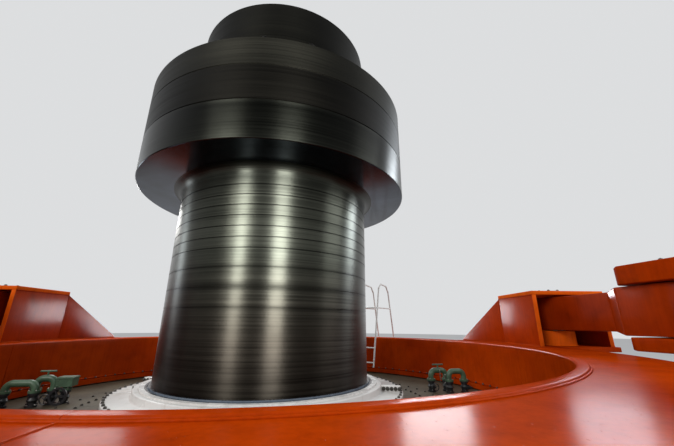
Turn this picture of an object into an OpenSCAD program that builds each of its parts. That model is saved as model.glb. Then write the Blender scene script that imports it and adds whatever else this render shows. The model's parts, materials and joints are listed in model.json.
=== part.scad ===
// Main shaft assembly of an upright hydroelectric unit: the turning shaft with its coupling, the
// guide bearing housing and head cover that hold it, and the gate operating ring round it.
// Millimetres, +Z up, origin on the shaft's axis at the head cover's seat.

/* [Shaft] */
// Diameter of the main shaft's barrel
shaft_d = 2650; // [2400:10:2800]
// Height of the shaft's lower end above the head cover's seat
shaft_foot_z = 20; // [10:5:60]
// Height of the coupling's underside above the seat
coupling_z = 3026; // [2900:1:3200]
// Reach of the coupling's bands beyond the barrel
coupling_reach = 560; // [500:5:620]
// Height of the lowest band, the turbine shaft's flange
lower_band_h = 465; // [350:5:600]
// Height of the middle band, the coupling ring
middle_band_h = 444; // [300:2:600]
// Height of the top band, the generator shaft's flange
upper_band_h = 366; // [250:2:500]
// Radius of the fillet between barrel and flange
shaft_fillet = 110; // [60:5:180]
// Chamfer on the edges of the bands
band_chamfer = 8; // [4:1:20]
// Length of generator shaft above the coupling
stub_h = 1200; // [600:10:2000]
// Number of turned grooves set close together under the coupling
fine_groove_count = 7; // [3:1:9]
// Distance between the close grooves
fine_groove_pitch = 122; // [90:1:150]
// Number of turned grooves set wider apart below them
wide_groove_count = 3; // [1:1:4]
// Distance between the wider grooves
wide_groove_pitch = 205; // [150:5:260]
// Drop from the coupling's underside to the first groove
groove_drop = 236; // [200:2:300]
// Width of a groove
groove_w = 12; // [6:1:24]
// Depth of a groove
groove_depth = 5; // [2:1:10]

/* [Bearing housing] */
// Width of the housing's shoulder round the seal ring
housing_shoulder_w = 102; // [80:1:150]
// Height of the housing's top above the deck
housing_h = 289; // [220:1:400]
// Width of the housing's bolted foot flange beyond the drum
housing_flange_w = 638; // [560:2:720]
// Thickness of the foot flange
housing_flange_t = 45; // [30:1:80]
// Radius of the drum's rounded top edge
housing_round = 60; // [20:5:90]
// Gap between the housing and the shaft
housing_gap = 8; // [6:1:20]
// Reach of the bolted ears at the housing's split
split_ear_reach = 80; // [50:5:120]
// Thickness of one bolted ear
split_ear_t = 40; // [25:1:60]
// Width of the seal ring round the shaft's foot
seal_w = 115; // [90:1:140]
// Height that the seal ring's lip stands above the housing
seal_lip_h = 28; // [15:1:50]
// Depth of the seal ring's seat in the housing
seal_seat = 40; // [20:1:60]
// Running clearance of the seal ring on the shaft
seal_clearance = 0.08; // [0.02:0.01:0.1]

/* [Head cover] */
// Height of the deck above the seat
deck_z = 300; // [240:5:400]
// Width of bare deck outside the operating ring
deck_margin = 150; // [100:5:200]
// Width of the bolted rim beyond the deck
rim_w = 250; // [220:5:300]
// Height of the bolted rim
rim_h = 140; // [80:5:180]
// Gap between the head cover and the shaft
cover_gap = 15; // [8:1:30]
// Number of bolts in the rim
rim_bolt_count = 16; // [8:4:24]
// Diameter of a rim bolt hole
rim_bolt_d = 80; // [50:2:110]
// Thickness of the gussets between the rim and the deck
rim_gusset_t = 40; // [20:2:60]
// Width of the raised ring on the deck beside the housing
deck_ring_w = 280; // [150:5:400]
// Height of the raised ring on the deck
deck_ring_h = 20; // [10:1:40]
// Width of the slide pad under the operating ring
pad_w = 640; // [400:10:760]
// Height of the slide pad
pad_h = 20; // [12:1:40]

/* [Operating ring] */
// Width of the walkway between the raised ring on the deck and the operating ring's bore
walk_w = 919; // [820:1:990]
// Width of the ring from its bore to the edge of its top plate
ring_w = 871; // [800:1:940]
// Height of the ring's lip above the slide pad
ring_h = 690; // [600:5:800]
// Thickness of the ring's wall
ring_wall_t = 60; // [30:2:90]
// Thickness of the ring's top and base plates
ring_plate_t = 70; // [40:2:90]
// Distance from the top plate's edge in to the base plate's edge
base_setback = 60; // [30:5:100]
// Width of the flat lip round the bore
lip_w = 91; // [60:1:120]
// Step from the lip down to the top plate
lip_step = 18; // [8:1:30]
// Inward reach of the ring's foot
foot_reach = 40; // [20:1:60]
// Height of the ring's foot
foot_h = 85; // [60:1:120]
// Number of ribs in a quarter of the ring
rib_count = 6; // [3:1:9]
// Thickness of a rib
rib_t = 40; // [20:2:60]
// Distance from the base plate's edge in to a rib's edge
rib_setback = 40; // [20:5:80]
// Turn of the ring from the middle of its travel, in degrees
ring_turn = -10.4; // [-12:0.1:-8]
// Gap between the ring and the slide pad
slide_gap = 0.3; // [0.2:0.1:1]

/* [Lugs] */
// Distance that the lug's inner side plate stands inside the ring's edge
lug_inset = 247; // [200:1:290]
// Distance of the lug's open front from the ring's cross line
lug_front_y = 448; // [420:1:480]
// Width over the lug's side plates
lug_w = 1129; // [1060:1:1200]
// Height of the lug above the ring's lip
lug_h = 808; // [760:1:880]
// Length of the lug's roof
lug_roof_l = 1050; // [980:10:1120]
// Length of the sloping rear part
lug_slope_l = 923; // [800:1:1000]
// Sideways turn-in of the sloping rear part
lug_turn_in = 388; // [300:1:420]
// Thickness of the lug's plates
lug_plate_t = 60; // [40:1:80]
// Distance from the lug's open front to the pin's axis
lug_pin_setback = 446; // [400:1:480]
// Diameter of the lug pin
lug_pin_d = 300; // [220:2:360]
// Diameter of the bosses round the lug pin
lug_boss_d = 534; // [480:2:600]
// Height of the keeper plate on the pin
keeper_t = 30; // [15:1:50]
// Gap between the link's eye and the bosses
eye_gap = 10; // [6:1:20]
// Reach of the lug's shelf inside the inner side plate
shelf_root = 500; // [440:10:560]
// Margin of the lug's shelf round the side plates
shelf_margin = 50; // [30:5:80]
// Height of a side plate's sloping part at its toe
toe_h = 30; // [15:1:60]

/* [Links] */
// Distance between a link's two pins
link_l = 1850; // [1750:10:2000]
// Height of a link's bar at the lug
link_h = 500; // [440:2:540]
// Width of a link's bar
link_w = 500; // [400:2:560]
// Height of a link's deep end at the fork
link_deep_h = 590; // [560:2:620]
// Width of a link's deep end
link_deep_w = 640; // [560:2:680]
// Distance from the lug pin to the start of the deep end
link_taper_start = 1200; // [1100:10:1210]
// Length of the taper into the deep end
link_taper_l = 160; // [100:5:220]
// Height of the links' middle above the ring's lip
link_mid_h = 465; // [455:1:475]
// Running clearance of the links' eyes on their pins
pin_clearance = 0.1; // [0.02:0.01:0.1]

/* [Forks] */
// Thickness of a fork's lower slab
fork_slab_t = 150; // [120:2:160]
// Thickness of a fork's upper slab
fork_top_slab_t = 230; // [150:5:260]
// Length of the corners cut off a fork's open end
fork_corner = 110; // [60:5:140]
// Gap between the link's deep end and a slab
fork_gap = 15; // [6:1:30]
// Width of a fork
fork_w = 840; // [760:5:900]
// Distance from the fork's pin to its open end
fork_nose = 446; // [420:2:480]
// Distance from the fork's pin to its web
fork_web_y = 400; // [370:5:450]
// Thickness of the fork's web
fork_web_t = 260; // [200:5:320]
// Diameter of the fork pin
fork_pin_d = 320; // [240:2:360]
// Diameter of the rod behind the fork
rod_d = 480; // [360:5:560]
// Length of rod behind the fork
rod_l = 450; // [300:10:700]

/* [Pipework] */
// Diameter of the bent pipes
pipe_d = 80; // [60:1:95]
// Width of a right pipe loop from leg to leg
loop_w = 250; // [210:5:300]
// Radius of a pipe bend
bend_r = 75; // [60:1:90]
// Length of a right loop's straight leg
loop_leg = 41; // [20:1:80]
// Diameter of the handles on top of the loops
handle_d = 22; // [14:1:30]
// Length of a handle
handle_l = 180; // [150:5:220]
// Diameter of a pipe flange
pipe_flange_d = 130; // [120:2:138]
// Thickness of a pipe flange
pipe_flange_t = 24; // [14:1:36]
// Height of a valve body on the deck
valve_h = 160; // [120:5:200]
// Diameter of a valve body
valve_d = 120; // [110:2:128]
// Diameter of a handwheel
handwheel_d = 200; // [160:5:240]
// Distance from the raised ring on the deck to the right loops' first leg
right_pipes_gap = 97; // [70:1:120]
// Gap between neighbouring valves
valve_clear = 20; // [12:1:40]
// Distance from the raised ring on the deck to the middle of the left group's box
left_pipes_gap = 45; // [40:1:60]
// Width of the box on the left group's near valve
box_w = 180; // [140:5:200]
// Height of that box
box_h = 115; // [100:5:150]
// Depth of that box
box_l = 150; // [120:5:180]
// Width of the left group's tall loop
tall_loop_w = 200; // [180:5:230]
// Width of the left group's long loop
long_loop_w = 320; // [260:5:340]
// Length of the long loop's straight leg
long_loop_leg = 8; // [5:1:20]

/* [Ladder] */
// Width between the ladder's stiles
ladder_w = 400; // [350:5:450]
// Diameter of the ladder's tubes
ladder_tube_d = 34; // [26:1:42]
// Distance between rungs along the stiles
rung_pitch = 290; // [250:5:320]
// Bearing that the ladder leans along, in degrees
ladder_bearing = 44.5; // [40:0.5:50]
// Sideways shift of the ladder's middle from that bearing
ladder_shift = 274; // [200:2:300]
// Distance of the stiles' lower ends inside the ring's bore
stile_foot_in = 235; // [200:5:280]
// Height of the stiles' lower ends above the ring's foot
ladder_lift = 25; // [10:5:60]
// Distance that the stiles have leant out beyond the bore at the hoops
stile_top_out = 105; // [60:5:140]
// Height of the hoops above the ring's lip
hoop_h = 1185; // [1000:5:1300]
// Distance from the stiles' tops out to the back legs' tops
hoop_l = 490; // [400:10:560]
// Distance from the ring's edge in to the back legs' feet
leg_inset = 45; // [40:5:80]
// Height of the hoops' rounded corners
hoop_corner = 105; // [70:5:140]
// Diameter of a back leg's foot disc
ladder_foot_d = 80; // [60:2:86]

/* [Hidden] */
$fn = 96;

steel_dark = [0.20, 0.19, 0.16];
steel_light = [0.36, 0.35, 0.31];
orange = [0.72, 0.16, 0.04];
orange_bright = [0.86, 0.27, 0.05];
khaki = [0.48, 0.45, 0.36];
white = [0.85, 0.85, 0.83];
seal_colour = [0.10, 0.12, 0.15];
green = [0.30, 0.42, 0.33];
black = [0.06, 0.06, 0.06];

shaft_r = shaft_d / 2;
coupling_r = shaft_r + coupling_reach;
middle_band_z = coupling_z + lower_band_h;
upper_band_z = middle_band_z + middle_band_h;
stub_z = upper_band_z + upper_band_h;
wide_groove_start = groove_drop + (fine_groove_count - 1) * fine_groove_pitch;
groove_drops = concat(
    [for (i = [0:fine_groove_count - 1]) groove_drop + i * fine_groove_pitch],
    [for (i = [1:wide_groove_count]) wide_groove_start + i * wide_groove_pitch]);

seal_r = shaft_r + seal_w;
housing_r = seal_r + housing_shoulder_w;
housing_top = deck_z + housing_h;
housing_flange_r = housing_r + housing_flange_w;
deck_ring_r = housing_flange_r + deck_ring_w;
seal_lip_w = 26;
seal_groove_w = 14;

ring_bore_r = deck_ring_r + walk_w;
ring_r = ring_bore_r + ring_w;
base_r = ring_r - base_setback;
deck_r = ring_r + deck_margin;
rim_r = deck_r + rim_w;
rim_pcd_r = (deck_r + rim_r) / 2;
rim_pitch = 360 / rim_bolt_count;
rim_bolt_shift = rim_pitch / 4;
rim_gusset_shift = rim_pitch * 3 / 4;

pad_top = deck_z + pad_h;
ring_z = pad_top + slide_gap;
lip_z = pad_top + ring_h;
plate_z = lip_z - lip_step;
pad_in_r = ring_bore_r + ring_wall_t;
// Depth that a rib's edges sink into the plates they are welded to
weld_in = 20;
// Gap between the ring's upper part and what stands against it or on it
seat_gap = 0.2;

lug_x = ring_r - lug_inset;
side_h = lip_z + lug_h - lug_plate_t - plate_z;
lug_top = lip_z + lug_h;
roof_under = lug_top - lug_plate_t;
slope_angle = atan2(lug_turn_in, lug_slope_l);
slope_run = sqrt(pow(lug_turn_in, 2) + pow(lug_slope_l, 2));
roof_back_y = lug_front_y + lug_roof_l;
lug_pin_x = lug_x + lug_w / 2;
lug_pin_y = lug_front_y + lug_pin_setback;
link_mid_z = lip_z + link_mid_h;
eye_low = link_mid_z - link_h / 2;
eye_high = link_mid_z + link_h / 2;

right_pin = turned([lug_pin_x, lug_pin_y], ring_turn);
left_pin = turned([-lug_pin_x, lug_pin_y], ring_turn);
deep_low = link_mid_z - link_deep_h / 2;
deep_high = link_mid_z + link_deep_h / 2;
slab_low_top = deep_low - fork_gap;
slab_high_under = deep_high + fork_gap;

function turned(p, a) = [p[0] * cos(a) - p[1] * sin(a), p[0] * sin(a) + p[1] * cos(a)];
function arc(cx, cy, r, a0, a1, n = 8) = [for (i = [0:n])
    [cx + r * cos(a0 + (a1 - a0) * i / n), cy + r * sin(a0 + (a1 - a0) * i / n)]];

// A ring of rectangular section between two radii and two heights
module flat_ring(r_in, r_out, z0, z1, a0 = 0, a1 = 360) {
    rotate([0, 0, a0])
        rotate_extrude(angle = a1 - a0, $fn = 180)
            translate([r_in, z0])
                square([r_out - r_in, z1 - z0]);
}

module turbine_shaft() {
    color(steel_dark)
        difference() {
            rotate_extrude($fn = 180)
                polygon(concat(
                    [[0, shaft_foot_z], [shaft_r, shaft_foot_z]],
                    arc(shaft_r + shaft_fillet, coupling_z - shaft_fillet, shaft_fillet, 180, 90),
                    [[coupling_r - band_chamfer, coupling_z], [coupling_r, coupling_z + band_chamfer],
                    [coupling_r, middle_band_z - band_chamfer],
                    [coupling_r - band_chamfer, middle_band_z], [0, middle_band_z]]));
            for (drop = groove_drops)
                flat_ring(shaft_r - groove_depth, shaft_r + 20, coupling_z - drop - groove_w / 2,
                    coupling_z - drop + groove_w / 2);
        }
}

module coupling_ring() {
    color(steel_dark)
        rotate_extrude($fn = 180)
            polygon([[0, middle_band_z], [coupling_r - band_chamfer, middle_band_z],
                [coupling_r, middle_band_z + band_chamfer], [coupling_r, upper_band_z - band_chamfer],
                [coupling_r - band_chamfer, upper_band_z], [0, upper_band_z]]);
}

module generator_shaft() {
    color(steel_light)
        rotate_extrude($fn = 180)
            polygon(concat(
                [[0, upper_band_z], [coupling_r - band_chamfer, upper_band_z],
                [coupling_r, upper_band_z + band_chamfer], [coupling_r, stub_z - band_chamfer],
                [coupling_r - band_chamfer, stub_z]],
                arc(shaft_r + shaft_fillet, stub_z + shaft_fillet, shaft_fillet, 270, 180),
                [[shaft_r, stub_z + stub_h], [0, stub_z + stub_h]]));
}

// Half of the head cover, from the split at a0 through half a turn
module head_cover_half(a0) {
    bore_r = shaft_r + cover_gap;
    color(khaki)
        difference() {
            union() {
                rotate([0, 0, a0])
                    rotate_extrude(angle = 180, $fn = 180)
                        polygon([[bore_r, 0], [rim_r, 0], [rim_r, rim_h], [deck_r, rim_h],
                            [deck_r, deck_z], [bore_r, deck_z]]);
                for (i = [0:rim_bolt_count / 2 - 1])
                    rotate([0, 0, a0 + i * rim_pitch + rim_gusset_shift])
                        translate([deck_r - 40, rim_gusset_t / 2, rim_h])
                            rotate([90, 0, 0])
                                linear_extrude(rim_gusset_t)
                                    polygon([[0, 0], [rim_r - deck_r, 0],
                                        [40, deck_z - rim_h - 20], [0, deck_z - rim_h - 20]]);
            }
            for (i = [0:rim_bolt_count / 2 - 1])
                rotate([0, 0, a0 + i * rim_pitch + rim_bolt_shift])
                    translate([rim_pcd_r, 0, -1])
                        cylinder(d = rim_bolt_d, h = rim_h + 2, $fn = 48);
        }
}

module head_cover_front() { head_cover_half(180); }

module head_cover_back() { head_cover_half(0); }

module deck_ring() {
    color(khaki)
        flat_ring(housing_flange_r, deck_ring_r, deck_z, deck_z + deck_ring_h);
}

module slide_pad() {
    color(steel_light)
        flat_ring(pad_in_r, pad_in_r + pad_w, deck_z, pad_top);
}

// Half of the bearing housing with its foot flange and the bolted ears at the split
module housing_half(a0) {
    bore_r = shaft_r + housing_gap;
    color(white) {
        rotate([0, 0, a0])
            rotate_extrude(angle = 180, $fn = 180)
                polygon(concat(
                    [[bore_r, deck_z], [housing_flange_r, deck_z],
                    [housing_flange_r, deck_z + housing_flange_t],
                    [housing_r, deck_z + housing_flange_t]],
                    arc(housing_r - housing_round, housing_top - housing_round, housing_round, 0, 90),
                    [[seal_r, housing_top], [seal_r, housing_top - seal_seat],
                    [bore_r, housing_top - seal_seat]]));
        for (side = [0, 1])
            rotate([0, 0, a0])
                mirror([side, 0, 0])
                    translate([housing_r - 20, 0, deck_z + housing_flange_t])
                        cube([split_ear_reach + 20, split_ear_t,
                            housing_h - housing_flange_t - housing_round]);
    }
}

module housing_front() { housing_half(180); }

module housing_back() { housing_half(0); }

module seal_ring() {
    bore_r = shaft_r + seal_clearance;
    foot = housing_top - seal_seat;
    lip_top = housing_top + seal_lip_h;
    rest_top = housing_top + seal_lip_h / 2;
    color(seal_colour)
        rotate_extrude($fn = 180)
            polygon([[bore_r, foot], [seal_r, foot], [seal_r, rest_top],
                [shaft_r + seal_lip_w + seal_groove_w, rest_top],
                [shaft_r + seal_lip_w + seal_groove_w, housing_top],
                [shaft_r + seal_lip_w, housing_top], [shaft_r + seal_lip_w, lip_top],
                [bore_r, lip_top]]);
}

// One upturned pipe loop on two flanges, standing along X from its left leg
module pipe_loop(w, leg) {
    top = pipe_flange_t + leg + bend_r;
    for (k = [0, 1])
        translate([k * w, 0, 0])
            mirror([k, 0, 0]) {
                cylinder(d = pipe_d, h = pipe_flange_t + leg, $fn = 32);
                cylinder(d = pipe_flange_d, h = pipe_flange_t, $fn = 32);
                translate([bend_r, 0, pipe_flange_t + leg])
                    rotate([90, 0, 0])
                        rotate([0, 0, 90])
                            rotate_extrude(angle = 90, $fn = 48)
                                translate([bend_r, 0])
                                    circle(d = pipe_d, $fn = 32);
            }
    translate([bend_r, 0, top])
        rotate([0, 90, 0])
            cylinder(d = pipe_d, h = w - 2 * bend_r, $fn = 32);
}

// A short stem with a cross handle, on top of a loop
module top_handle(w, leg) {
    top = pipe_flange_t + leg + bend_r;
    stem = pipe_d / 2 + 2 * handle_d;
    translate([w / 2, 0, top])
        cylinder(d = handle_d, h = stem, $fn = 24);
    translate([w / 2 - handle_l / 2, 0, top + stem])
        rotate([0, 90, 0])
            cylinder(d = handle_d, h = handle_l, $fn = 24);
}

// A handwheel on a valve's side, with its stem towards the front
module handwheel() {
    stem_d = handwheel_d / 8;
    stem_l = valve_d / 2 + handwheel_d / 2;
    rim_t = handwheel_d / 9;
    spoke_w = handwheel_d / 12;
    rotate([90, 0, 0]) {
        cylinder(d = stem_d, h = stem_l, $fn = 24);
        translate([0, 0, stem_l - rim_t]) {
            difference() {
                cylinder(d = handwheel_d, h = rim_t, $fn = 48);
                translate([0, 0, -1])
                    cylinder(d = handwheel_d - 2 * rim_t, h = rim_t + 2, $fn = 48);
            }
            for (a = [0:120:240])
                rotate([0, 0, a])
                    translate([0, -spoke_w / 2, rim_t / 4])
                        cube([(handwheel_d - rim_t) / 2, spoke_w, rim_t / 2]);
        }
    }
}

// A valve body on the deck: waisted between its foot flange and its top flange
module valve() {
    rotate_extrude($fn = 48)
        polygon([[0, 0], [valve_d / 2, 0], [valve_d / 2, pipe_flange_t], [valve_d * 0.38, pipe_flange_t],
            [valve_d * 0.38, valve_h / 3], [valve_d / 2, valve_h / 2], [valve_d * 0.38, valve_h * 2 / 3],
            [valve_d * 0.38, valve_h - pipe_flange_t], [valve_d / 2, valve_h - pipe_flange_t],
            [valve_d / 2, valve_h], [0, valve_h]]);
}

// The second loop stands one valve nearer the front than the first
right_loop_x = deck_ring_r + right_pipes_gap;
right_loop_y = 430;
right_starts = [[right_loop_x, right_loop_y],
    [right_loop_x + loop_w - valve_clear, right_loop_y - valve_d - valve_clear]];
right_feet = [for (p = right_starts, k = [0, loop_w]) [p[0] + k, p[1]]];

module right_pipe_loops() {
    color(green)
        for (p = right_starts)
            translate([p[0], p[1], deck_z + valve_h]) {
                pipe_loop(loop_w, loop_leg);
                if (p[1] == right_loop_y)
                    top_handle(loop_w, loop_leg);
            }
}

module right_valves() {
    color(black)
        for (p = right_feet)
            translate([p[0], p[1], deck_z])
                valve();
}

left_y = 440;
box_x = -deck_ring_r - left_pipes_gap;
tall_start = box_x - valve_d - valve_clear - tall_loop_w;
long_start = tall_start + bend_r - long_loop_w;
left_feet = [[long_start, left_y - valve_d - valve_clear],
    [long_start + long_loop_w, left_y - valve_d - valve_clear], [tall_start, left_y],
    [tall_start + tall_loop_w, left_y], [box_x, left_y]];

// The left group: a long loop, a tall loop with a handle, and a box on the near valve
module left_pipe_manifold() {
    foot_z = deck_z + valve_h;
    color(green) {
        translate([left_feet[0][0], left_feet[0][1], foot_z])
            pipe_loop(long_loop_w, long_loop_leg);
        translate([left_feet[2][0], left_feet[2][1], foot_z]) {
            pipe_loop(tall_loop_w, loop_leg);
            top_handle(tall_loop_w, loop_leg);
        }
        translate([box_x, left_y, foot_z]) {
            cylinder(d = pipe_flange_d, h = pipe_flange_t, $fn = 32);
            cylinder(d = pipe_d, h = pipe_flange_t + valve_clear, $fn = 32);
            translate([-box_w / 2, -box_l / 2, pipe_flange_t + valve_clear])
                cube([box_w, box_l, box_h]);
        }
    }
}

module left_valves() {
    color(black)
        for (i = [0:4])
            translate([left_feet[i][0], left_feet[i][1], deck_z]) {
                valve();
                if (i == 4)
                    translate([0, 0, handwheel_d / 2 + handle_d / 2])
                        handwheel();
            }
}

// A quarter of the operating ring's upper part: wall, rounded lip and top plate
module ring_quarter(i) {
    wall_r = ring_bore_r + ring_wall_t;
    foot_top = ring_z + ring_plate_t;
    round_r = lip_step;
    color(orange)
        rotate([0, 0, ring_turn + i * 90])
            rotate_extrude(angle = 90, $fn = 180)
                polygon(concat(
                    [[ring_bore_r, foot_top], [wall_r, foot_top], [wall_r, plate_z - ring_plate_t],
                    [ring_r, plate_z - ring_plate_t], [ring_r, plate_z]],
                    arc(ring_bore_r + lip_w - round_r, plate_z, round_r, 0, 90, 4),
                    arc(ring_bore_r + round_r, lip_z - round_r, round_r, 90, 180, 4)));
}

// A quarter of the ring's base: base plate, inner foot and the ribs under the top plate
module ring_base(i) {
    foot_r = ring_bore_r - foot_reach;
    wall_r = ring_bore_r + ring_wall_t;
    base_top = ring_z + ring_plate_t;
    color(orange)
        rotate([0, 0, ring_turn + i * 90])
            difference() {
                union() {
                    rotate_extrude(angle = 90, $fn = 180)
                        polygon([[foot_r, ring_z], [base_r, ring_z], [base_r, base_top],
                            [ring_bore_r - seat_gap, base_top],
                            [ring_bore_r - seat_gap, ring_z + foot_h],
                            [foot_r, ring_z + foot_h]]);
                    for (k = [0:rib_count - 1])
                        rotate([0, 0, (k + 0.5) * 90 / rib_count])
                            translate([wall_r - weld_in, -rib_t / 2, base_top - weld_in])
                                cube([base_r - rib_setback - wall_r + weld_in, rib_t,
                                    plate_z - ring_plate_t - base_top + weld_in - seat_gap]);
                }
                translate([0, 0, base_top])
                    cylinder(r = wall_r + seat_gap, h = ring_h, $fn = 180);
            }
}

module ring_quarter_1() { ring_quarter(0); }

module ring_quarter_2() { ring_quarter(1); }

module ring_quarter_3() { ring_quarter(2); }

module ring_quarter_4() { ring_quarter(3); }

module ring_base_1() { ring_base(0); }

module ring_base_2() { ring_base(1); }

module ring_base_3() { ring_base(2); }

module ring_base_4() { ring_base(3); }

// Turns a lug piece with the ring; side is 1 on the right and -1 on the left
module on_ring(side) {
    rotate([0, 0, ring_turn])
        mirror([side < 0 ? 1 : 0, 0, 0])
            children();
}

// The shelf outside the ring that carries the lug, with its brackets and the pin's lower boss
module lug_shelf(side) {
    root_x = lug_x - shelf_root;
    out_x = lug_x + lug_w + shelf_margin;
    front = lug_front_y - shelf_margin;
    back = roof_back_y + lug_slope_l + shelf_margin;
    under = plate_z - ring_plate_t;
    bracket_foot = ring_z + ring_plate_t;
    color(orange)
        on_ring(side)
            difference() {
                union() {
                    difference() {
                        union() {
                            translate([0, 0, under])
                                linear_extrude(ring_plate_t)
                                    polygon([[root_x, front], [out_x, front], [out_x, roof_back_y],
                                        [out_x - lug_turn_in, back], [root_x, back]]);
                            for (y = [front + rib_t, lug_pin_y + rib_t, roof_back_y + lug_slope_l / 3])
                                translate([root_x, y, 0])
                                    rotate([90, 0, 0])
                                        linear_extrude(rib_t)
                                            polygon([[0, bracket_foot], [ring_r - root_x, bracket_foot],
                                                [out_x - lug_turn_in - shelf_margin - root_x, under],
                                                [0, under]]);
                        }
                        cylinder(r = ring_r, h = lip_z, $fn = 180);
                    }
                    translate([lug_pin_x, lug_pin_y, plate_z])
                        cylinder(d = lug_boss_d, h = eye_low - eye_gap - plate_z, $fn = 64);
                }
                translate([lug_pin_x, lug_pin_y, 0])
                    cylinder(d = lug_pin_d, h = lug_top, $fn = 64);
            }
}

// A side plate of the lug with its sloping rear part, turned inwards to follow the ring
module lug_side(side, x) {
    mitre = lug_plate_t * tan(slope_angle / 2);
    foot = [x - lug_turn_in, roof_back_y + lug_slope_l];
    across = [lug_plate_t * cos(slope_angle), lug_plate_t * sin(slope_angle)];
    color(orange)
        on_ring(side)
            difference() {
                translate([0, 0, plate_z])
                    linear_extrude(side_h)
                        polygon([[x, lug_front_y], [x + lug_plate_t, lug_front_y],
                            [x + lug_plate_t, roof_back_y + mitre], foot + across, foot,
                            [x, roof_back_y]]);
                translate([x, roof_back_y, plate_z])
                    rotate([90, 0, 90 + slope_angle])
                        translate([0, 0, -lug_plate_t])
                            linear_extrude(3 * lug_plate_t)
                                polygon([[mitre, side_h], [slope_run, toe_h],
                                    [slope_run + lug_plate_t, toe_h],
                                    [slope_run + lug_plate_t, side_h + 1], [mitre, side_h + 1]]);
            }
}

// The roof with the pin's upper boss, and the sloping plate that closes the lug's back
module lug_roof(side) {
    slope_h = lug_top - plate_z;
    color(orange_bright)
        on_ring(side)
            difference() {
                union() {
                    translate([lug_x, lug_front_y, roof_under])
                        cube([lug_w, lug_roof_l, lug_plate_t]);
                    translate([lug_pin_x, lug_pin_y, eye_high + eye_gap])
                        cylinder(d = lug_boss_d, h = roof_under - eye_high - eye_gap, $fn = 64);
                    translate([lug_x + lug_plate_t, roof_back_y - lug_plate_t, plate_z])
                        cube([lug_w - 2 * lug_plate_t, lug_plate_t, slope_h - lug_plate_t]);
                }
                translate([lug_pin_x, lug_pin_y, 0])
                    cylinder(d = lug_pin_d, h = lug_top + 10, $fn = 64);
            }
}

module lug_pin(side) {
    color(steel_light)
        on_ring(side)
            translate([lug_pin_x, lug_pin_y, 0]) {
                translate([0, 0, plate_z - ring_plate_t - 20])
                    cylinder(d = lug_pin_d, h = lug_top - plate_z + ring_plate_t + 20, $fn = 64);
                translate([0, 0, lug_top])
                    cylinder(d = lug_pin_d + 80, h = keeper_t, $fn = 64);
            }
}

module right_lug_shelf() { lug_shelf(1); }

module right_lug_inner_side() { lug_side(1, lug_x); }

module right_lug_outer_side() { lug_side(1, lug_x + lug_w - lug_plate_t); }

module right_lug_roof() { lug_roof(1); }

module right_lug_pin() { lug_pin(1); }

module left_lug_shelf() { lug_shelf(-1); }

module left_lug_inner_side() { lug_side(-1, lug_x); }

module left_lug_outer_side() { lug_side(-1, lug_x + lug_w - lug_plate_t); }

module left_lug_roof() { lug_roof(-1); }

module left_lug_pin() { lug_pin(-1); }

// A tube with round ends between two points [radius, height] in a stile's plane
module ladder_tube(p, q, d) {
    run = q[0] - p[0];
    rise = q[1] - p[1];
    translate([p[0], 0, p[1]])
        rotate([0, atan2(run, rise), 0])
            cylinder(d = d, h = sqrt(run * run + rise * rise), $fn = 24);
    translate([q[0], 0, q[1]])
        sphere(d = 1.15 * d, $fn = 24);
}

// The ladder into the pit: leaning stiles with rungs, hoops over the lip and back legs on the plate
module access_ladder() {
    foot = [ring_bore_r - stile_foot_in, ring_z + foot_h + ladder_lift];
    top = [ring_bore_r + stile_top_out, lip_z + hoop_h - hoop_corner];
    crown = [top[0] + hoop_corner, lip_z + hoop_h];
    crown_end = [top[0] + hoop_l - hoop_corner, lip_z + hoop_h - hoop_corner / 4];
    back_top = [top[0] + hoop_l, top[1] - hoop_corner / 2];
    disc_t = ladder_tube_d / 3;
    back_foot = [ring_r - leg_inset, plate_z + seat_gap + disc_t / 2];
    lean = (top[0] - foot[0]) / (top[1] - foot[1]);
    bar_z = lip_z + hoop_h * 0.54;
    bar_r = foot[0] + lean * (bar_z - foot[1]);
    bar_share = (bar_z - back_foot[1]) / (back_top[1] - back_foot[1]);
    bar_end = back_foot[0] + (back_top[0] - back_foot[0]) * bar_share;
    rungs = floor((lip_z - foot[1]) / rung_pitch);
    color(white)
        rotate([0, 0, ladder_bearing])
            translate([0, ladder_shift, 0]) {
                for (side = [-1, 1])
                    translate([0, side * ladder_w / 2, 0]) {
                        ladder_tube(foot, top, ladder_tube_d);
                        ladder_tube(top, crown, ladder_tube_d);
                        ladder_tube(crown, crown_end, ladder_tube_d);
                        ladder_tube(crown_end, back_top, ladder_tube_d);
                        ladder_tube(back_foot, back_top, ladder_tube_d);
                        ladder_tube([bar_r, bar_z], [bar_end, bar_z], ladder_tube_d * 0.8);
                        translate([back_foot[0], 0, plate_z + seat_gap])
                            cylinder(d = ladder_foot_d, h = disc_t, $fn = 32);
                    }
                for (i = [0:rungs])
                    translate([foot[0] + lean * (i + 0.3) * rung_pitch, -ladder_w / 2,
                        foot[1] + (i + 0.3) * rung_pitch])
                        rotate([-90, 0, 0])
                            cylinder(d = ladder_tube_d * 0.8, h = ladder_w, $fn = 24);
                translate([bar_r, -ladder_w / 2, bar_z])
                    rotate([-90, 0, 0])
                        cylinder(d = ladder_tube_d * 0.8, h = ladder_w, $fn = 24);
            }
}

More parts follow.
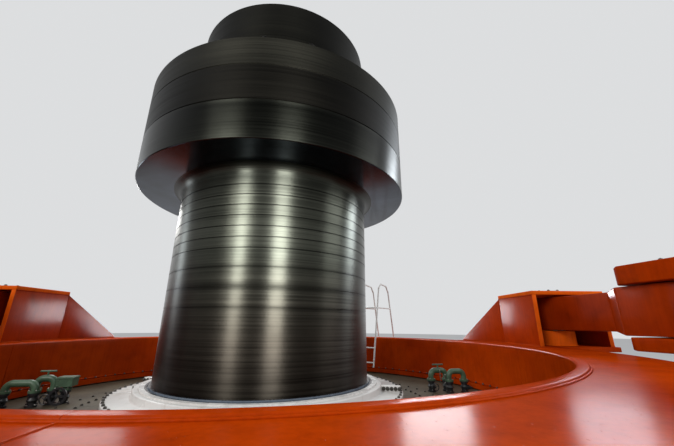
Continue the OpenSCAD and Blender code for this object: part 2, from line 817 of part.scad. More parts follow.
// A link from its lug pin, running towards the front to its deep end in the fork
module link_bar(pin) {
    color(orange)
        translate([pin[0], pin[1], link_mid_z])
            difference() {
                union() {
                    translate([0, 0, -link_h / 2])
                        cylinder(d = link_w, h = link_h, $fn = 64);
                    translate([-link_w / 2, -link_taper_start, -link_h / 2])
                        cube([link_w, link_taper_start, link_h]);
                    intersection() {
                        rotate([90, 0, -90])
                            translate([0, 0, -link_deep_w / 2])
                                linear_extrude(link_deep_w)
                                    polygon([[link_taper_start, -link_h / 2],
                                        [link_taper_start + link_taper_l, -link_deep_h / 2],
                                        [link_l, -link_deep_h / 2], [link_l, link_deep_h / 2],
                                        [link_taper_start + link_taper_l, link_deep_h / 2],
                                        [link_taper_start, link_h / 2]]);
                        translate([0, 0, -link_deep_h])
                            linear_extrude(2 * link_deep_h)
                                polygon([[-link_w / 2, -link_taper_start],
                                    [-link_deep_w / 2, -link_taper_start - link_taper_l],
                                    [-link_deep_w / 2, -link_l], [link_deep_w / 2, -link_l],
                                    [link_deep_w / 2, -link_taper_start - link_taper_l],
                                    [link_w / 2, -link_taper_start]]);
                    }
                    translate([0, -link_l, -link_deep_h / 2])
                        cylinder(d = link_deep_w, h = link_deep_h, $fn = 64);
                }
                translate([0, 0, -link_h])
                    cylinder(d = lug_pin_d + 2 * pin_clearance, h = 2 * link_h, $fn = 64);
                translate([0, -link_l, -link_h])
                    cylinder(d = fork_pin_d + 2 * pin_clearance, h = 2 * link_h, $fn = 64);
            }
}

module right_link() { link_bar(right_pin); }

module left_link() { link_bar(left_pin); }

// The fork round a link's deep end: two slabs, the web that joins them, and the rod
module fork(pin) {
    hole_h = slab_high_under - slab_low_top + fork_slab_t + fork_top_slab_t + 2;
    color(orange)
        translate([pin[0], pin[1] - link_l, 0])
            difference() {
                union() {
                    for (slab = [[slab_low_top - fork_slab_t, fork_slab_t],
                        [slab_high_under, fork_top_slab_t]])
                        translate([0, 0, slab[0]])
                            linear_extrude(slab[1])
                                polygon([[-fork_w / 2, -fork_web_y - fork_web_t],
                                    [fork_w / 2, -fork_web_y - fork_web_t],
                                    [fork_w / 2, fork_nose - fork_corner],
                                    [fork_w / 2 - fork_corner, fork_nose],
                                    [fork_corner - fork_w / 2, fork_nose],
                                    [-fork_w / 2, fork_nose - fork_corner]]);
                    translate([-fork_w / 2, -fork_web_y - fork_web_t, slab_low_top])
                        cube([fork_w, fork_web_t, slab_high_under - slab_low_top]);
                    translate([0, -fork_web_y - fork_web_t, link_mid_z])
                        rotate([90, 0, 0])
                            cylinder(d = rod_d, h = rod_l, $fn = 64);
                }
                translate([0, 0, slab_low_top - fork_slab_t - 1])
                    cylinder(d = fork_pin_d, h = hole_h, $fn = 64);
            }
}

module fork_pin(pin) {
    foot = slab_low_top - fork_slab_t;
    head = slab_high_under + fork_top_slab_t;
    color(steel_light)
        translate([pin[0], pin[1] - link_l, 0]) {
            translate([0, 0, foot])
                cylinder(d = fork_pin_d, h = head - foot, $fn = 64);
            translate([0, 0, head])
                cylinder(d = fork_pin_d + 80, h = keeper_t, $fn = 64);
        }
}

module right_fork() { fork(right_pin); }

module right_fork_pin() { fork_pin(right_pin); }

module left_fork() { fork(left_pin); }

module left_fork_pin() { fork_pin(left_pin); }

turbine_shaft();
coupling_ring();
generator_shaft();
head_cover_front();
head_cover_back();
deck_ring();
slide_pad();
housing_front();
housing_back();
seal_ring();
right_pipe_loops();
right_valves();
left_pipe_manifold();
left_valves();
ring_quarter_1();
ring_quarter_2();
ring_quarter_3();
ring_quarter_4();
ring_base_1();
ring_base_2();
ring_base_3();
ring_base_4();
right_lug_shelf();
right_lug_inner_side();
right_lug_outer_side();
right_lug_roof();
right_lug_pin();
left_lug_shelf();
left_lug_inner_side();
left_lug_outer_side();
left_lug_roof();
left_lug_pin();
access_ladder();
right_link();
left_link();
right_fork();
right_fork_pin();
left_fork();
left_fork_pin();
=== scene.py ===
import json
import math
import random

import bmesh
import bpy
from mathutils import Matrix, Vector

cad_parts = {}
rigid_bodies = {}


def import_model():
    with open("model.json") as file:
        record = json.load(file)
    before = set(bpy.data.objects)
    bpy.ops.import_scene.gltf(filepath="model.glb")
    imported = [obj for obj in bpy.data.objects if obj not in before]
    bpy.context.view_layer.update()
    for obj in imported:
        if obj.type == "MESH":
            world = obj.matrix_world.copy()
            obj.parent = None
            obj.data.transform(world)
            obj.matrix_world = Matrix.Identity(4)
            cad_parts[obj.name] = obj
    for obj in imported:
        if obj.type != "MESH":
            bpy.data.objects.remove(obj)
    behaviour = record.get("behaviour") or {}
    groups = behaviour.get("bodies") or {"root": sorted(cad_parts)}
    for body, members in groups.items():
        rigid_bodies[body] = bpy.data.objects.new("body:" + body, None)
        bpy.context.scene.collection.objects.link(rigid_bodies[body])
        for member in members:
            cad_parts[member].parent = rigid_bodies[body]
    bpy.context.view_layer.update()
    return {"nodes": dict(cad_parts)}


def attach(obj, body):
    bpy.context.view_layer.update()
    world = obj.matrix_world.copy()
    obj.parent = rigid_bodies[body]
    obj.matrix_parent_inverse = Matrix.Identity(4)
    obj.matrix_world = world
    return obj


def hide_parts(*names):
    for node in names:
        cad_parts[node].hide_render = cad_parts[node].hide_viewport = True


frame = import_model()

scene = bpy.context.scene
NODES = frame["nodes"]


# Main sizes in metres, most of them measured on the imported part

class Extent:
    """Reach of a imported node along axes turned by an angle, and round the shaft's axis."""

    def __init__(self, node, turn=0.0):
        m = Matrix.Rotation(-turn, 4, "Z") @ NODES[node].matrix_world
        points = [m @ v.co for v in NODES[node].data.vertices]
        self.x0, self.x1 = min(p.x for p in points), max(p.x for p in points)
        self.y0, self.y1 = min(p.y for p in points), max(p.y for p in points)
        self.z0, self.z1 = min(p.z for p in points), max(p.z for p in points)
        self.r0 = min(math.hypot(p.x, p.y) for p in points)
        self.r1 = max(math.hypot(p.x, p.y) for p in points)


def exact(size):
    """A measured size, to a tenth of a millimetre."""
    return round(size, 4)


# Angles: the operating ring at rest, the housing's split, and half the gap at the joints of each
TURN, SPLIT = math.radians(-10.4), math.radians(-20)
QUARTER_GAP, SPLIT_GAP = 0.0004, 0.0012

top_shaft = Extent("generator_shaft")
housing = Extent("housing_front")
deck = Extent("deck_ring")
quarter = Extent("ring_quarter_1")
base = Extent("ring_base_1")
roof = Extent("right_lug_roof", TURN)
side_wall = Extent("right_lug_inner_side", TURN)
bar = Extent("right_link")
fork = Extent("right_fork")

# Shaft and coupling
SHAFT_R, COUPLING_R = exact(top_shaft.r0), exact(top_shaft.r1)
LOWER_BAND_H, UPPER_BAND_H = 0.465, 0.366
COUPLING_Z = exact(Extent("coupling_ring").z0) - LOWER_BAND_H
STUB_Z = exact(top_shaft.z0) + UPPER_BAND_H
GROOVE_DROP, GROOVE_PITCH, GROOVE_W, GROOVE_COUNT = 0.236, 0.122, 0.013, 7

# Bearing housing and deck
DECK_Z, DECK_RING_TOP, DECK_RING_R = exact(deck.z0), exact(deck.z1), exact(deck.r1)
HOUSING_TOP, FOOT_PLATE_R = exact(housing.z1), exact(housing.r1)
SEAL_R = exact(Extent("seal_ring").r1)
HOUSING_R, BODY_R, SEAT_R = 1.503, 1.560, SEAL_R + 0.0005
FLANGE_R, FLANGE_Z, FLANGE_T, FOOT_PLATE_T = 1.765, 0.510, 0.045, 0.045

# Operating ring
BORE_R, RING_R = exact(quarter.r0), exact(quarter.r1)
FOOT_R, RING_Z, LIP_Z = exact(base.r0), exact(base.z0), exact(quarter.z1)
PLATE_Z, PLATE_T = exact(side_wall.z0), exact(quarter.z0 - base.z0)
WALL_R, FOOT_TOP, LIP_W = BORE_R + 0.060, RING_Z + 0.085, 0.091
BASE_TOP, PLATE_LOW = RING_Z + PLATE_T, PLATE_Z - PLATE_T
QUARTERS, RIBS, RIB_T, RIB_END_R = 4, 24, 0.040, RING_R - 0.105

# Lugs, in the ring's own turned frame
LUG_X, LUG_W = exact(roof.x0), exact(roof.x1 - roof.x0)
LUG_FRONT, LUG_BACK, LUG_TOP = exact(roof.y0), exact(roof.y1), exact(roof.z1)
LUG_T, ROOF_Z = exact(roof.z1 - side_wall.z1), exact(side_wall.z1)
TURN_IN, SLOPE_L, TOE_H = exact(roof.x0 - side_wall.x0), 0.923, 0.030
PLATE_XS = (LUG_X, LUG_X + LUG_W - LUG_T)
PIN_X, PIN_Y, BOSS_R, BOSS_CLEAR = LUG_X + LUG_W / 2, LUG_FRONT + 0.446, 0.267, 0.010

# Links and forks, from the pin they turn on
LINK_W, LINK_H = 0.500, 0.500
LINK_MID = exact((bar.z0 + bar.z1) / 2)
DEEP_W, DEEP_H = exact(bar.x1 - bar.x0), exact(bar.z1 - bar.z0)
LINK_L = exact(bar.y1 - bar.y0 - (LINK_W + DEEP_W) / 2)
TAPER_START, TAPER_END = 1.200, 1.360
SLAB_T, SLAB_TOP_T = 0.150, 0.230
SLAB_LOW, SLAB_HIGH = exact(fork.z0) + SLAB_T, exact(fork.z1) - SLAB_TOP_T
FORK_W, FORK_NOSE, FORK_CORNER = exact(fork.x1 - fork.x0), 0.446, 0.110
WEB_Y, WEB_BACK, ROD_R, ROD_L = 0.400, 0.660, 0.240, 0.450

# Bolts on the ring's foot, the housing's collar, its foot plate and the deck, and nuts on the coupling
RING_BOLTS, COLLAR_BOLTS, PLATE_BOLTS, DECK_BOLTS, COUPLING_NUTS = 132, 84, 96, 72, 20

# Steps round a quarter of the ring, half of the housing, a boss, and the round beads of the ring and drum
WALL_STEPS, HALF_STEPS, BOSS_STEPS, RING_BEAD_STEPS, DRUM_BEAD_STEPS = 120, 160, 72, 1400, 900


# Camera and light

CAMERA_AT = (0, -4.702, 1.294)
CAMERA_LENS, CAMERA_TILT, CAMERA_ROLL, CAMERA_YAW = 17.035, 0.3061, 0.0082, 0.1967
# Spots on the ring's top where the camera sees the reflections of the glare cards
SPOTS = [(-0.51, -3.52), (0.52, -3.67), (0.99, -3.93)]
# Points on the shaft's axis that the lamps are aimed at
AIM_LOW, AIM_MID, AIM_HIGH, AIM_SHAFT = (0, 0, 1.2), (0, 0, 1.3), (0, 0, 1.5), (0, 0, 2.0)
WARM, COOL, BLUE = (1.0, 0.99, 0.97), (0.93, 0.96, 1.0), (0.86, 0.93, 1.0)


def look(tilt, roll, yaw):
    """Camera axes for a view turned by yaw towards +X, tilted up and rolled."""
    fwd = Vector((math.sin(yaw) * math.cos(tilt), math.cos(yaw) * math.cos(tilt), math.sin(tilt)))
    right = Vector((math.cos(yaw), -math.sin(yaw), 0))
    up = right.cross(fwd)
    r = math.cos(roll) * right + math.sin(roll) * up
    u = -math.sin(roll) * right + math.cos(roll) * up
    return Matrix((r, u, -fwd)).transposed()


cam_data = bpy.data.cameras.new("camera")
cam_data.sensor_width, cam_data.lens = 36.0, CAMERA_LENS
cam_data.clip_start, cam_data.clip_end = 0.05, 300
cam = bpy.data.objects.new("camera", cam_data)
cam.matrix_world = Matrix.Translation(CAMERA_AT) @ look(CAMERA_TILT, CAMERA_ROLL, CAMERA_YAW).to_4x4()
scene.collection.objects.link(cam)
scene.camera = cam
scene.view_settings.view_transform = "Standard"


def backdrop():
    """A pale world to the eye, in mirrors and through glass, and a softer one as fill light."""
    world = bpy.data.worlds.new("world")
    scene.world = world
    world.use_nodes = True
    tree = world.node_tree
    tree.nodes.clear()
    path = tree.nodes.new("ShaderNodeLightPath")
    pick = tree.nodes.new("ShaderNodeMixShader")
    out = tree.nodes.new("ShaderNodeOutputWorld")
    seen = path.outputs["Is Camera Ray"]
    for ray in ("Is Glossy Ray", "Is Transmission Ray"):
        either = tree.nodes.new("ShaderNodeMath")
        either.operation = "MAXIMUM"
        tree.links.new(seen, either.inputs[0])
        tree.links.new(path.outputs[ray], either.inputs[1])
        seen = either.outputs[0]
    tree.links.new(seen, pick.inputs[0])
    for slot, colour in ((1, (0.60, 0.61, 0.63, 1)), (2, (0.72, 0.73, 0.74, 1))):
        shade = tree.nodes.new("ShaderNodeBackground")
        shade.inputs["Color"].default_value = colour
        tree.links.new(shade.outputs[0], pick.inputs[slot])
    tree.links.new(pick.outputs[0], out.inputs["Surface"])


def lamp(name, at, target, width, height, power, colour=(1, 1, 1)):
    """A rectangular lamp at a place, aimed at the target."""
    data = bpy.data.lights.new(name, "AREA")
    data.shape, data.size, data.size_y = "RECTANGLE", width, height
    data.energy, data.color = power, colour
    o = bpy.data.objects.new(name, data)
    way = Vector(target) - Vector(at)
    o.matrix_world = Matrix.Translation(at) @ way.to_track_quat("-Z", "Y").to_matrix().to_4x4()
    o.visible_camera = False
    scene.collection.objects.link(o)
    return o


def card(name, at, target, width, height, power, colour=(1, 1, 1)):
    """A bright card that only shows as a reflection."""
    o = lamp(name, at, target, width, height, power, colour)
    o.visible_diffuse = False
    return o


def glare(name, spot, width, height, power, colour=(0.96, 0.97, 1.0), reach=10.0):
    """A card whose reflection shows at a spot on the ring's top, as seen by the camera."""
    spot = Vector((*spot, PLATE_Z))
    way = spot - cam.matrix_world.translation
    way.z = -way.z
    return card(name, spot + way.normalized() * reach, spot, width, height, power, colour)


backdrop()
lamp("key", (-7.5, -9.0, 7.8), AIM_MID, 5.0, 5.0, 800, (1.0, 0.98, 0.95))
lamp("side", (9.5, -4.0, 5.8), AIM_LOW, 4.0, 4.0, 300, (0.95, 0.975, 1.0))
lamp("bore", (-3.8, 4.6, 5.0), (2.2, 2.8, 0.9), 2.5, 2.5, 170, WARM)
lamp("rear", (3.5, 10.5, 8.0), AIM_HIGH, 4.0, 4.0, 300, WARM)
card("strip_left", (-4.60, -6.80, 2.8), AIM_SHAFT, 1.35, 5.0, 600)
card("strip_right", (0.70, -8.24, 2.8), AIM_SHAFT, 1.85, 5.0, 1050)
card("edge_left", (-6.35, 1.95, 2.9), (-1.2, 0, 2.2), 1.1, 2.4, 45, BLUE)
card("edge_right", (6.60, 0.60, 4.6), (1.2, 0, 2.0), 1.5, 2.2, 260, BLUE)
card("panel_left", (4.2, 6.9, 2.3), (-4.05, 1.2, 1.4), 3.8, 2.8, 3200, COOL)
card("panel_right", (1.7, 9.6, 2.4), (4.0, 0.9, 1.4), 3.8, 2.6, 2600, COOL)
glare("glare_left", SPOTS[0], 1.8, 1.4, 190)
glare("glare_middle", SPOTS[1], 1.9, 1.7, 640)
glare("glare_right", SPOTS[2], 2.8, 1.3, 520, (0.86, 0.90, 1.0))
card("glare_lip", (4.6, 6.0, 6.4), (1.6, -3.0, 1.0), 1.6, 1.0, 60)


# Materials

class Paint:
    """A node material that is laid out in the part's own coordinates."""

    def __init__(self, name):
        self.mat = bpy.data.materials.new(name)
        self.mat.use_nodes = True
        self.tree = self.mat.node_tree
        self.tree.nodes.clear()
        self.out = self.node("ShaderNodeOutputMaterial")
        self.shader = self.node("ShaderNodeBsdfPrincipled")
        self.wire(self.shader.outputs[0], self.out.inputs["Surface"])
        self.coords = self.node("ShaderNodeTexCoord").outputs["Object"]

    def node(self, kind, **props):
        n = self.tree.nodes.new(kind)
        for k, v in props.items():
            setattr(n, k, v)
        return n

    def wire(self, a, b):
        self.tree.links.new(a, b)

    def put(self, socket, value):
        """Wires a socket, or sets it to a number or a colour of three parts."""
        if isinstance(value, bpy.types.NodeSocket):
            self.wire(value, socket)
        elif isinstance(value, tuple):
            socket.default_value = (*value, 1)
        else:
            socket.default_value = value

    def stretched(self, x, y, z):
        m = self.node("ShaderNodeMapping")
        m.inputs["Scale"].default_value = (x, y, z)
        self.wire(self.coords, m.inputs["Vector"])
        return m.outputs[0]

    def noise(self, scale, detail=3.0, rough=0.55, vector=None, distortion=0.0):
        n = self.node("ShaderNodeTexNoise")
        n.inputs["Scale"].default_value = scale
        n.inputs["Detail"].default_value = detail
        n.inputs["Roughness"].default_value = rough
        n.inputs["Distortion"].default_value = distortion
        self.wire(vector or self.coords, n.inputs["Vector"])
        return n.outputs["Fac"]

    def span(self, value, a, b, c=0.0, d=1.0):
        """The value's range from a to b, stretched to run from c to d."""
        n = self.node("ShaderNodeMapRange")
        n.clamp = True
        for k, v in zip(("Value", "From Min", "From Max", "To Min", "To Max"), (value, a, b, c, d)):
            self.put(n.inputs[k], v)
        return n.outputs[0]

    def math(self, op, a, b=0.0, c=0.0):
        n = self.node("ShaderNodeMath", operation=op)
        for s, v in zip(n.inputs, (a, b, c)):
            self.put(s, v)
        return n.outputs[0]

    def mix(self, factor, a, b, how="MIX"):
        n = self.node("ShaderNodeMix", data_type="RGBA", blend_type=how)
        for s, v in ((n.inputs[0], factor), (n.inputs[6], a), (n.inputs[7], b)):
            self.put(s, v)
        return n.outputs[2]

    def multiply(self, a, b):
        return self.mix(1.0, a, b, "MULTIPLY")

    def ramp(self, value, stops):
        """A colour ramp from stops of a place and a grey or a colour."""
        n = self.node("ShaderNodeValToRGB")
        e = n.color_ramp.elements
        while len(e) < len(stops):
            e.new(0.5)
        for k, (at, c) in enumerate(stops):
            e[k].position = at
            e[k].color = (c, c, c, 1) if isinstance(c, float) else (*c, 1)
        self.wire(value, n.inputs[0])
        return n.outputs[0]

    def xyz(self):
        n = self.node("ShaderNodeSeparateXYZ")
        self.wire(self.coords, n.inputs[0])
        return n.outputs

    def radius(self):
        """Distance from the shaft's axis."""
        x, y, _ = self.xyz()
        squares = self.math("ADD", self.math("MULTIPLY", x, x), self.math("MULTIPLY", y, y))
        return self.math("SQRT", squares)

    def bump(self, height, distance, strength=1.0, under=None):
        n = self.node("ShaderNodeBump")
        n.inputs["Strength"].default_value = strength
        n.inputs["Distance"].default_value = distance
        self.wire(height, n.inputs["Height"])
        if under is not None:
            self.wire(under, n.inputs["Normal"])
        return n.outputs[0]

    def finish(self, colour, rough, normal=None, **constant):
        s = self.shader.inputs
        self.put(s["Base Color"], colour)
        self.put(s["Roughness"], rough)
        if normal is not None:
            self.wire(normal, s["Normal"])
        for k, v in constant.items():
            s[k.replace("_", " ")].default_value = v
        return self.mat


# Height that the steel's lists of painted light and shade run over
SHADE_TOP = 5.6


def turned_steel(name, high, low, shade, rough=(0.30, 0.42), film=1.0, grooves=None, underside_painted_reflection=None,
                 drawn=0.86):
    """Turned steel: round marks, and painted light and shade along the height given as stops."""
    p = Paint(name)
    z = p.xyz()[2]
    wander = p.math("MULTIPLY", p.math("SUBTRACT", p.noise(0.8, 2.0), 0.5), 0.020)
    at = p.span(p.math("ADD", z, wander), 0.0, SHADE_TOP)
    # Painted light and shade: these stops brighten or darken the steel by height
    band = p.ramp(at, [(height / SHADE_TOP, v) for height, v in shade])
    fine = p.noise(1.0, 3.0, 0.6, p.stretched(0.25, 0.25, 210))
    lines = p.noise(1.0, 4.0, 0.65, p.stretched(0.30, 0.30, 55))
    broad = p.noise(1.0, 3.0, 0.6, p.stretched(0.40, 0.40, 7))
    oil = p.noise(1.3, 5.0, 0.6, p.stretched(1, 1, 0.6))
    tone = p.mix(p.span(z, 1.1, 2.0), low, high)
    tone = p.multiply(tone, band)
    tone = p.multiply(tone, p.ramp(fine, [(0.30, 0.80), (0.52, 1.0), (0.70, 1.16)]))
    tone = p.multiply(tone, p.ramp(lines, [(0.30, 0.62), (0.50, 1.0), (0.70, 1.24)]))
    tone = p.multiply(tone, p.ramp(broad, [(0.35, 0.84), (0.62, 1.08)]))
    tone = p.multiply(tone, p.ramp(oil, [(0.30, 1.0 - 0.22 * film), (0.65, 1.0 + 0.08 * film)]))
    if grooves:
        top, pitch, width, count = grooves
        down = p.math("SUBTRACT", top + width / 2, z)
        inside = p.math("LESS_THAN", p.math("MODULO", down, pitch), width)
        below_top = p.math("GREATER_THAN", down, 0.0)
        above_end = p.math("LESS_THAN", down, pitch * (count - 0.5))
        cut = p.math("MULTIPLY", inside, p.math("MULTIPLY", below_top, above_end))
        tone = p.mix(p.math("MULTIPLY", cut, 0.72), tone, (0.006, 0.006, 0.005))
    spread = drawn
    marks = p.math("ADD", p.math("MULTIPLY", lines, 0.5), p.math("MULTIPLY", fine, 0.5))
    r = p.span(marks, 0.35, 0.65, *rough)
    # Painted reflection: the flat underside gets a bluish tint with lighter and darker blotches standing for
    # the room it reflects
    if underside_painted_reflection:
        past_fillet = p.math("GREATER_THAN", p.radius(), SHAFT_R + 0.112)
        flat = p.math("MULTIPLY", past_fillet, p.math("LESS_THAN", z, COUPLING_Z + 0.004))
        painted_reflection_blotches = p.ramp(p.noise(1.5, 5.0, 0.65, distortion=0.5), [(0.30, 0.45), (0.50, 0.9), (0.68, 1.5)])
        tone = p.mix(flat, tone, p.multiply(painted_reflection_blotches, underside_painted_reflection))
        spread = p.span(flat, 0.0, 1.0, drawn, 0.0)
        r = p.span(flat, 0.0, 1.0, r, 0.16)
    p.put(p.shader.inputs["Anisotropic"], spread)
    n = p.bump(fine, 0.0003, 0.3)
    tangent = p.node("ShaderNodeTangent", direction_type="RADIAL", axis="Z")
    p.wire(tangent.outputs[0], p.shader.inputs["Tangent"])
    return p.finish(tone, r, n, Metallic=1.0, Anisotropic_Rotation=0.25)


def enamel(name, deep, bright, wave=1.0, coat=0.06):
    """Thick glossy enamel laid on by brush, with dabs, runs and soft waves."""
    p = Paint(name)
    patch = p.noise(0.9, 4.0, 0.6)
    blotch = p.noise(5.0, 5.0, 0.62, distortion=0.4)
    brush = p.noise(1.0, 4.0, 0.6, p.stretched(34, 34, 2.2))
    dabs = p.noise(58.0, 1.0, 0.5)
    tone = p.mix(p.span(patch, 0.34, 0.66), deep, bright)
    tone = p.multiply(tone, p.ramp(blotch, [(0.25, 0.80), (0.50, 1.0), (0.78, 1.08)]))
    tone = p.multiply(tone, p.ramp(brush, [(0.28, 0.88), (0.60, 1.03)]))
    grime = p.noise(2.3, 6.0, 0.7, p.stretched(1, 1, 0.45))
    tone = p.mix(p.span(grime, 0.56, 0.80, 0.0, 0.45), tone, (0.085, 0.016, 0.004))
    r = p.span(blotch, 0.30, 0.75, 0.30, 0.50)
    n = p.bump(p.noise(2.2, 2.0, 0.5), 0.010 * wave, 0.45)
    n = p.bump(p.noise(9.0, 3.0, 0.55), 0.0012 * wave, 0.5, n)
    n = p.bump(p.span(dabs, 0.72, 0.80), 0.0010 * wave, 1.0, n)
    n = p.bump(brush, 0.0006 * wave, 0.4, n)
    p.wire(n, p.shader.inputs["Coat Normal"])
    return p.finish(tone, r, n, Coat_Weight=coat, Coat_Roughness=0.21, Specular_IOR_Level=0.0)


def plain_paint(name, base, dark, rough=(0.30, 0.55), stain=None, scale=3.0, peel=0.0008, speck=None,
                gloss=0.4):
    """Paint with soft patches, fine grain, stains and specks."""
    p = Paint(name)
    patch = p.noise(scale, 5.0, 0.65)
    grain = p.noise(scale * 16, 4.0, 0.7)
    tone = p.mix(p.span(patch, 0.32, 0.68), dark, base)
    tone = p.multiply(tone, p.ramp(grain, [(0.30, 0.84), (0.55, 1.0), (0.75, 1.05)]))
    if stain:
        runs = p.noise(1.0, 5.0, 0.65, p.stretched(4.5, 4.5, 1.1))
        tone = p.mix(p.span(runs, 0.56, 0.78, 0.0, 0.62), tone, stain)
    if speck:
        dots = p.noise(scale * 45, 2.0, 0.5)
        tone = p.mix(p.span(dots, 0.68, 0.74, 0.0, 0.7), tone, speck)
    r = p.span(grain, 0.30, 0.75, *rough)
    n = p.bump(patch, 0.003, 0.3)
    n = p.bump(grain, peel, 0.5, n)
    return p.finish(tone, r, n, Specular_IOR_Level=gloss)


def white_enamel(name, base, shade, stain):
    """Smooth glossy white with faint cloudy tone, brown runs and the odd scuff."""
    p = Paint(name)
    cloud = p.noise(1.6, 4.0, 0.6)
    runs = p.noise(1.0, 5.0, 0.62, p.stretched(5.5, 5.5, 0.8))
    scuff = p.noise(14.0, 5.0, 0.75)
    tone = p.mix(p.span(cloud, 0.35, 0.65), shade, base)
    tone = p.mix(p.span(runs, 0.54, 0.76, 0.0, 0.55), tone, stain)
    tone = p.mix(p.span(scuff, 0.66, 0.76, 0.0, 0.35), tone, (0.22, 0.19, 0.16))
    r = p.span(cloud, 0.30, 0.70, 0.16, 0.32)
    n = p.bump(cloud, 0.002, 0.3)
    return p.finish(tone, r, p.bump(scuff, 0.0002, 0.3, n), Specular_IOR_Level=0.25)


def seal_paint(name):
    """The seal's black inner rings with a pale line between them, and its white outer land."""
    p = Paint(name)
    steps = p.span(p.radius(), SHAFT_R, SEAL_R + 0.005)
    land = (0.80, 0.795, 0.77)
    tone = p.ramp(steps, [(0.0, (0.012, 0.014, 0.018)), (0.20, (0.014, 0.018, 0.024)),
                          (0.215, (0.16, 0.20, 0.25)), (0.27, (0.13, 0.16, 0.21)),
                          (0.285, (0.012, 0.015, 0.020)), (0.50, (0.016, 0.020, 0.027)),
                          (0.515, land), (1.0, land)])
    film = p.noise(7.0, 4.0, 0.6)
    tone = p.multiply(tone, p.ramp(film, [(0.30, 0.78), (0.60, 1.0)]))
    return p.finish(tone, p.span(film, 0.3, 0.7, 0.18, 0.34), p.bump(film, 0.0006, 0.3))


def bare_steel(name, base, rough=(0.25, 0.42)):
    """Bare steel under a thin film of oil, with fine marks."""
    p = Paint(name)
    film = p.noise(6.0, 5.0, 0.65)
    marks = p.noise(1.0, 3.0, 0.6, p.stretched(70, 70, 70))
    tone = p.multiply(base, p.ramp(film, [(0.30, 0.62), (0.55, 1.0), (0.75, 1.15)]))
    r = p.span(film, 0.30, 0.70, *rough)
    return p.finish(tone, r, p.bump(marks, 0.0005, 0.4), Metallic=1.0)


# Painted light and shade on each steel piece against the height; the barrel's three narrow dips are grooves
# Painted highlights on the fillet under the coupling and on the tops of its bands; painted shade on its
# lower band, on the stub above, and darker towards the barrel's foot
BARREL = [(0.0, 0.42), (0.60, 0.42), (0.80, 0.52), (1.00, 0.66), (1.22, 0.70), (1.41, 0.80),
          (1.436, 0.42), (1.452, 0.42), (1.475, 0.84), (1.60, 0.86), (1.632, 0.34), (1.668, 0.38),
          (1.70, 0.86), (1.835, 0.95), (1.846, 0.45), (1.862, 0.45), (1.875, 1.0), (2.30, 1.08),
          (2.80, 1.00), (2.92, 1.05), (2.99, 0.75), (3.03, 0.26), (3.16, 0.15), (3.44, 0.08),
          (3.484, 0.22), (3.491, 0.12), (4.2, 0.25), (SHADE_TOP, 0.3)]
MIDDLE = [(0.0, 1.0), (3.50, 1.0), (3.60, 1.05), (3.92, 1.0), (3.932, 1.5), (SHADE_TOP, 1.0)]
UPPER = [(0.0, 1.0), (3.94, 0.9), (4.1, 1.05), (4.28, 1.05), (4.40, 0.50), (4.8, 0.42), (SHADE_TOP, 0.5)]
# Painted shade: steel colours darkened far below bare steel, most on the coupling's bands, standing for the
# dim surroundings they reflect
SHADED_MIDDLE_STEEL, SHADED_UPPER_STEEL = (0.0045, 0.0042, 0.0034), (0.0105, 0.0102, 0.0080)
M_BARREL = turned_steel("turned_shaft", (0.053, 0.056, 0.045), (0.050, 0.044, 0.035), BARREL,
                        grooves=(COUPLING_Z - GROOVE_DROP, GROOVE_PITCH, GROOVE_W, GROOVE_COUNT),
                        underside_painted_reflection=(0.042, 0.052, 0.072))
M_MIDDLE = turned_steel("dark_band", SHADED_MIDDLE_STEEL, SHADED_MIDDLE_STEEL, MIDDLE, (0.46, 0.60), 0.7, drawn=0.6)
M_UPPER = turned_steel("upper_band", SHADED_UPPER_STEEL, SHADED_UPPER_STEEL, UPPER, (0.46, 0.60), 0.7, drawn=0.6)
M_ORANGE = enamel("orange_enamel", (0.300, 0.024, 0.001), (0.440, 0.044, 0.001))
# Painted light: a lighter copy of the orange enamel, standing for light on the lugs' front edges, roofs and
# lower bosses
M_LIT_ORANGE = enamel("lit_orange_enamel", (0.620, 0.085, 0.005), (0.760, 0.125, 0.006), 0.8)
M_LINK = enamel("link_enamel", (0.250, 0.020, 0.001), (0.400, 0.038, 0.001), 1.4, 0.20)
# Painted shade: the deck's khaki is darker than the paint's own colour, standing for the shade down in the
# pit
M_SHADED_KHAKI = plain_paint("shaded_deck_khaki", (0.102, 0.085, 0.057), (0.058, 0.048, 0.031), (0.45, 0.70),
                      (0.060, 0.048, 0.033), 2.2, 0.0010, (0.04, 0.03, 0.02), 0.15)
M_WHITE = white_enamel("white_enamel", (0.74, 0.735, 0.715), (0.64, 0.63, 0.605), (0.36, 0.29, 0.21))
M_LADDER = plain_paint("ladder_white", (0.80, 0.80, 0.78), (0.66, 0.65, 0.62), (0.28, 0.45),
                       (0.34, 0.27, 0.20), 6.0, 0.0005)
M_GREEN = plain_paint("pipe_green", (0.085, 0.150, 0.090), (0.045, 0.085, 0.052), (0.30, 0.50),
                      (0.045, 0.050, 0.032), 9.0, 0.0007)
M_BLACK = plain_paint("valve_black", (0.022, 0.023, 0.026), (0.010, 0.010, 0.012), (0.28, 0.52),
                      (0.060, 0.048, 0.038), 9.0, 0.0010)
M_SEAL = seal_paint("seal_black")
M_PIN = bare_steel("pin_steel", (0.46, 0.45, 0.42))
M_BOLT = bare_steel("bolt_steel", (0.115, 0.108, 0.098), (0.34, 0.55))
M_PAD = bare_steel("slide_steel", (0.36, 0.345, 0.30), (0.30, 0.50))

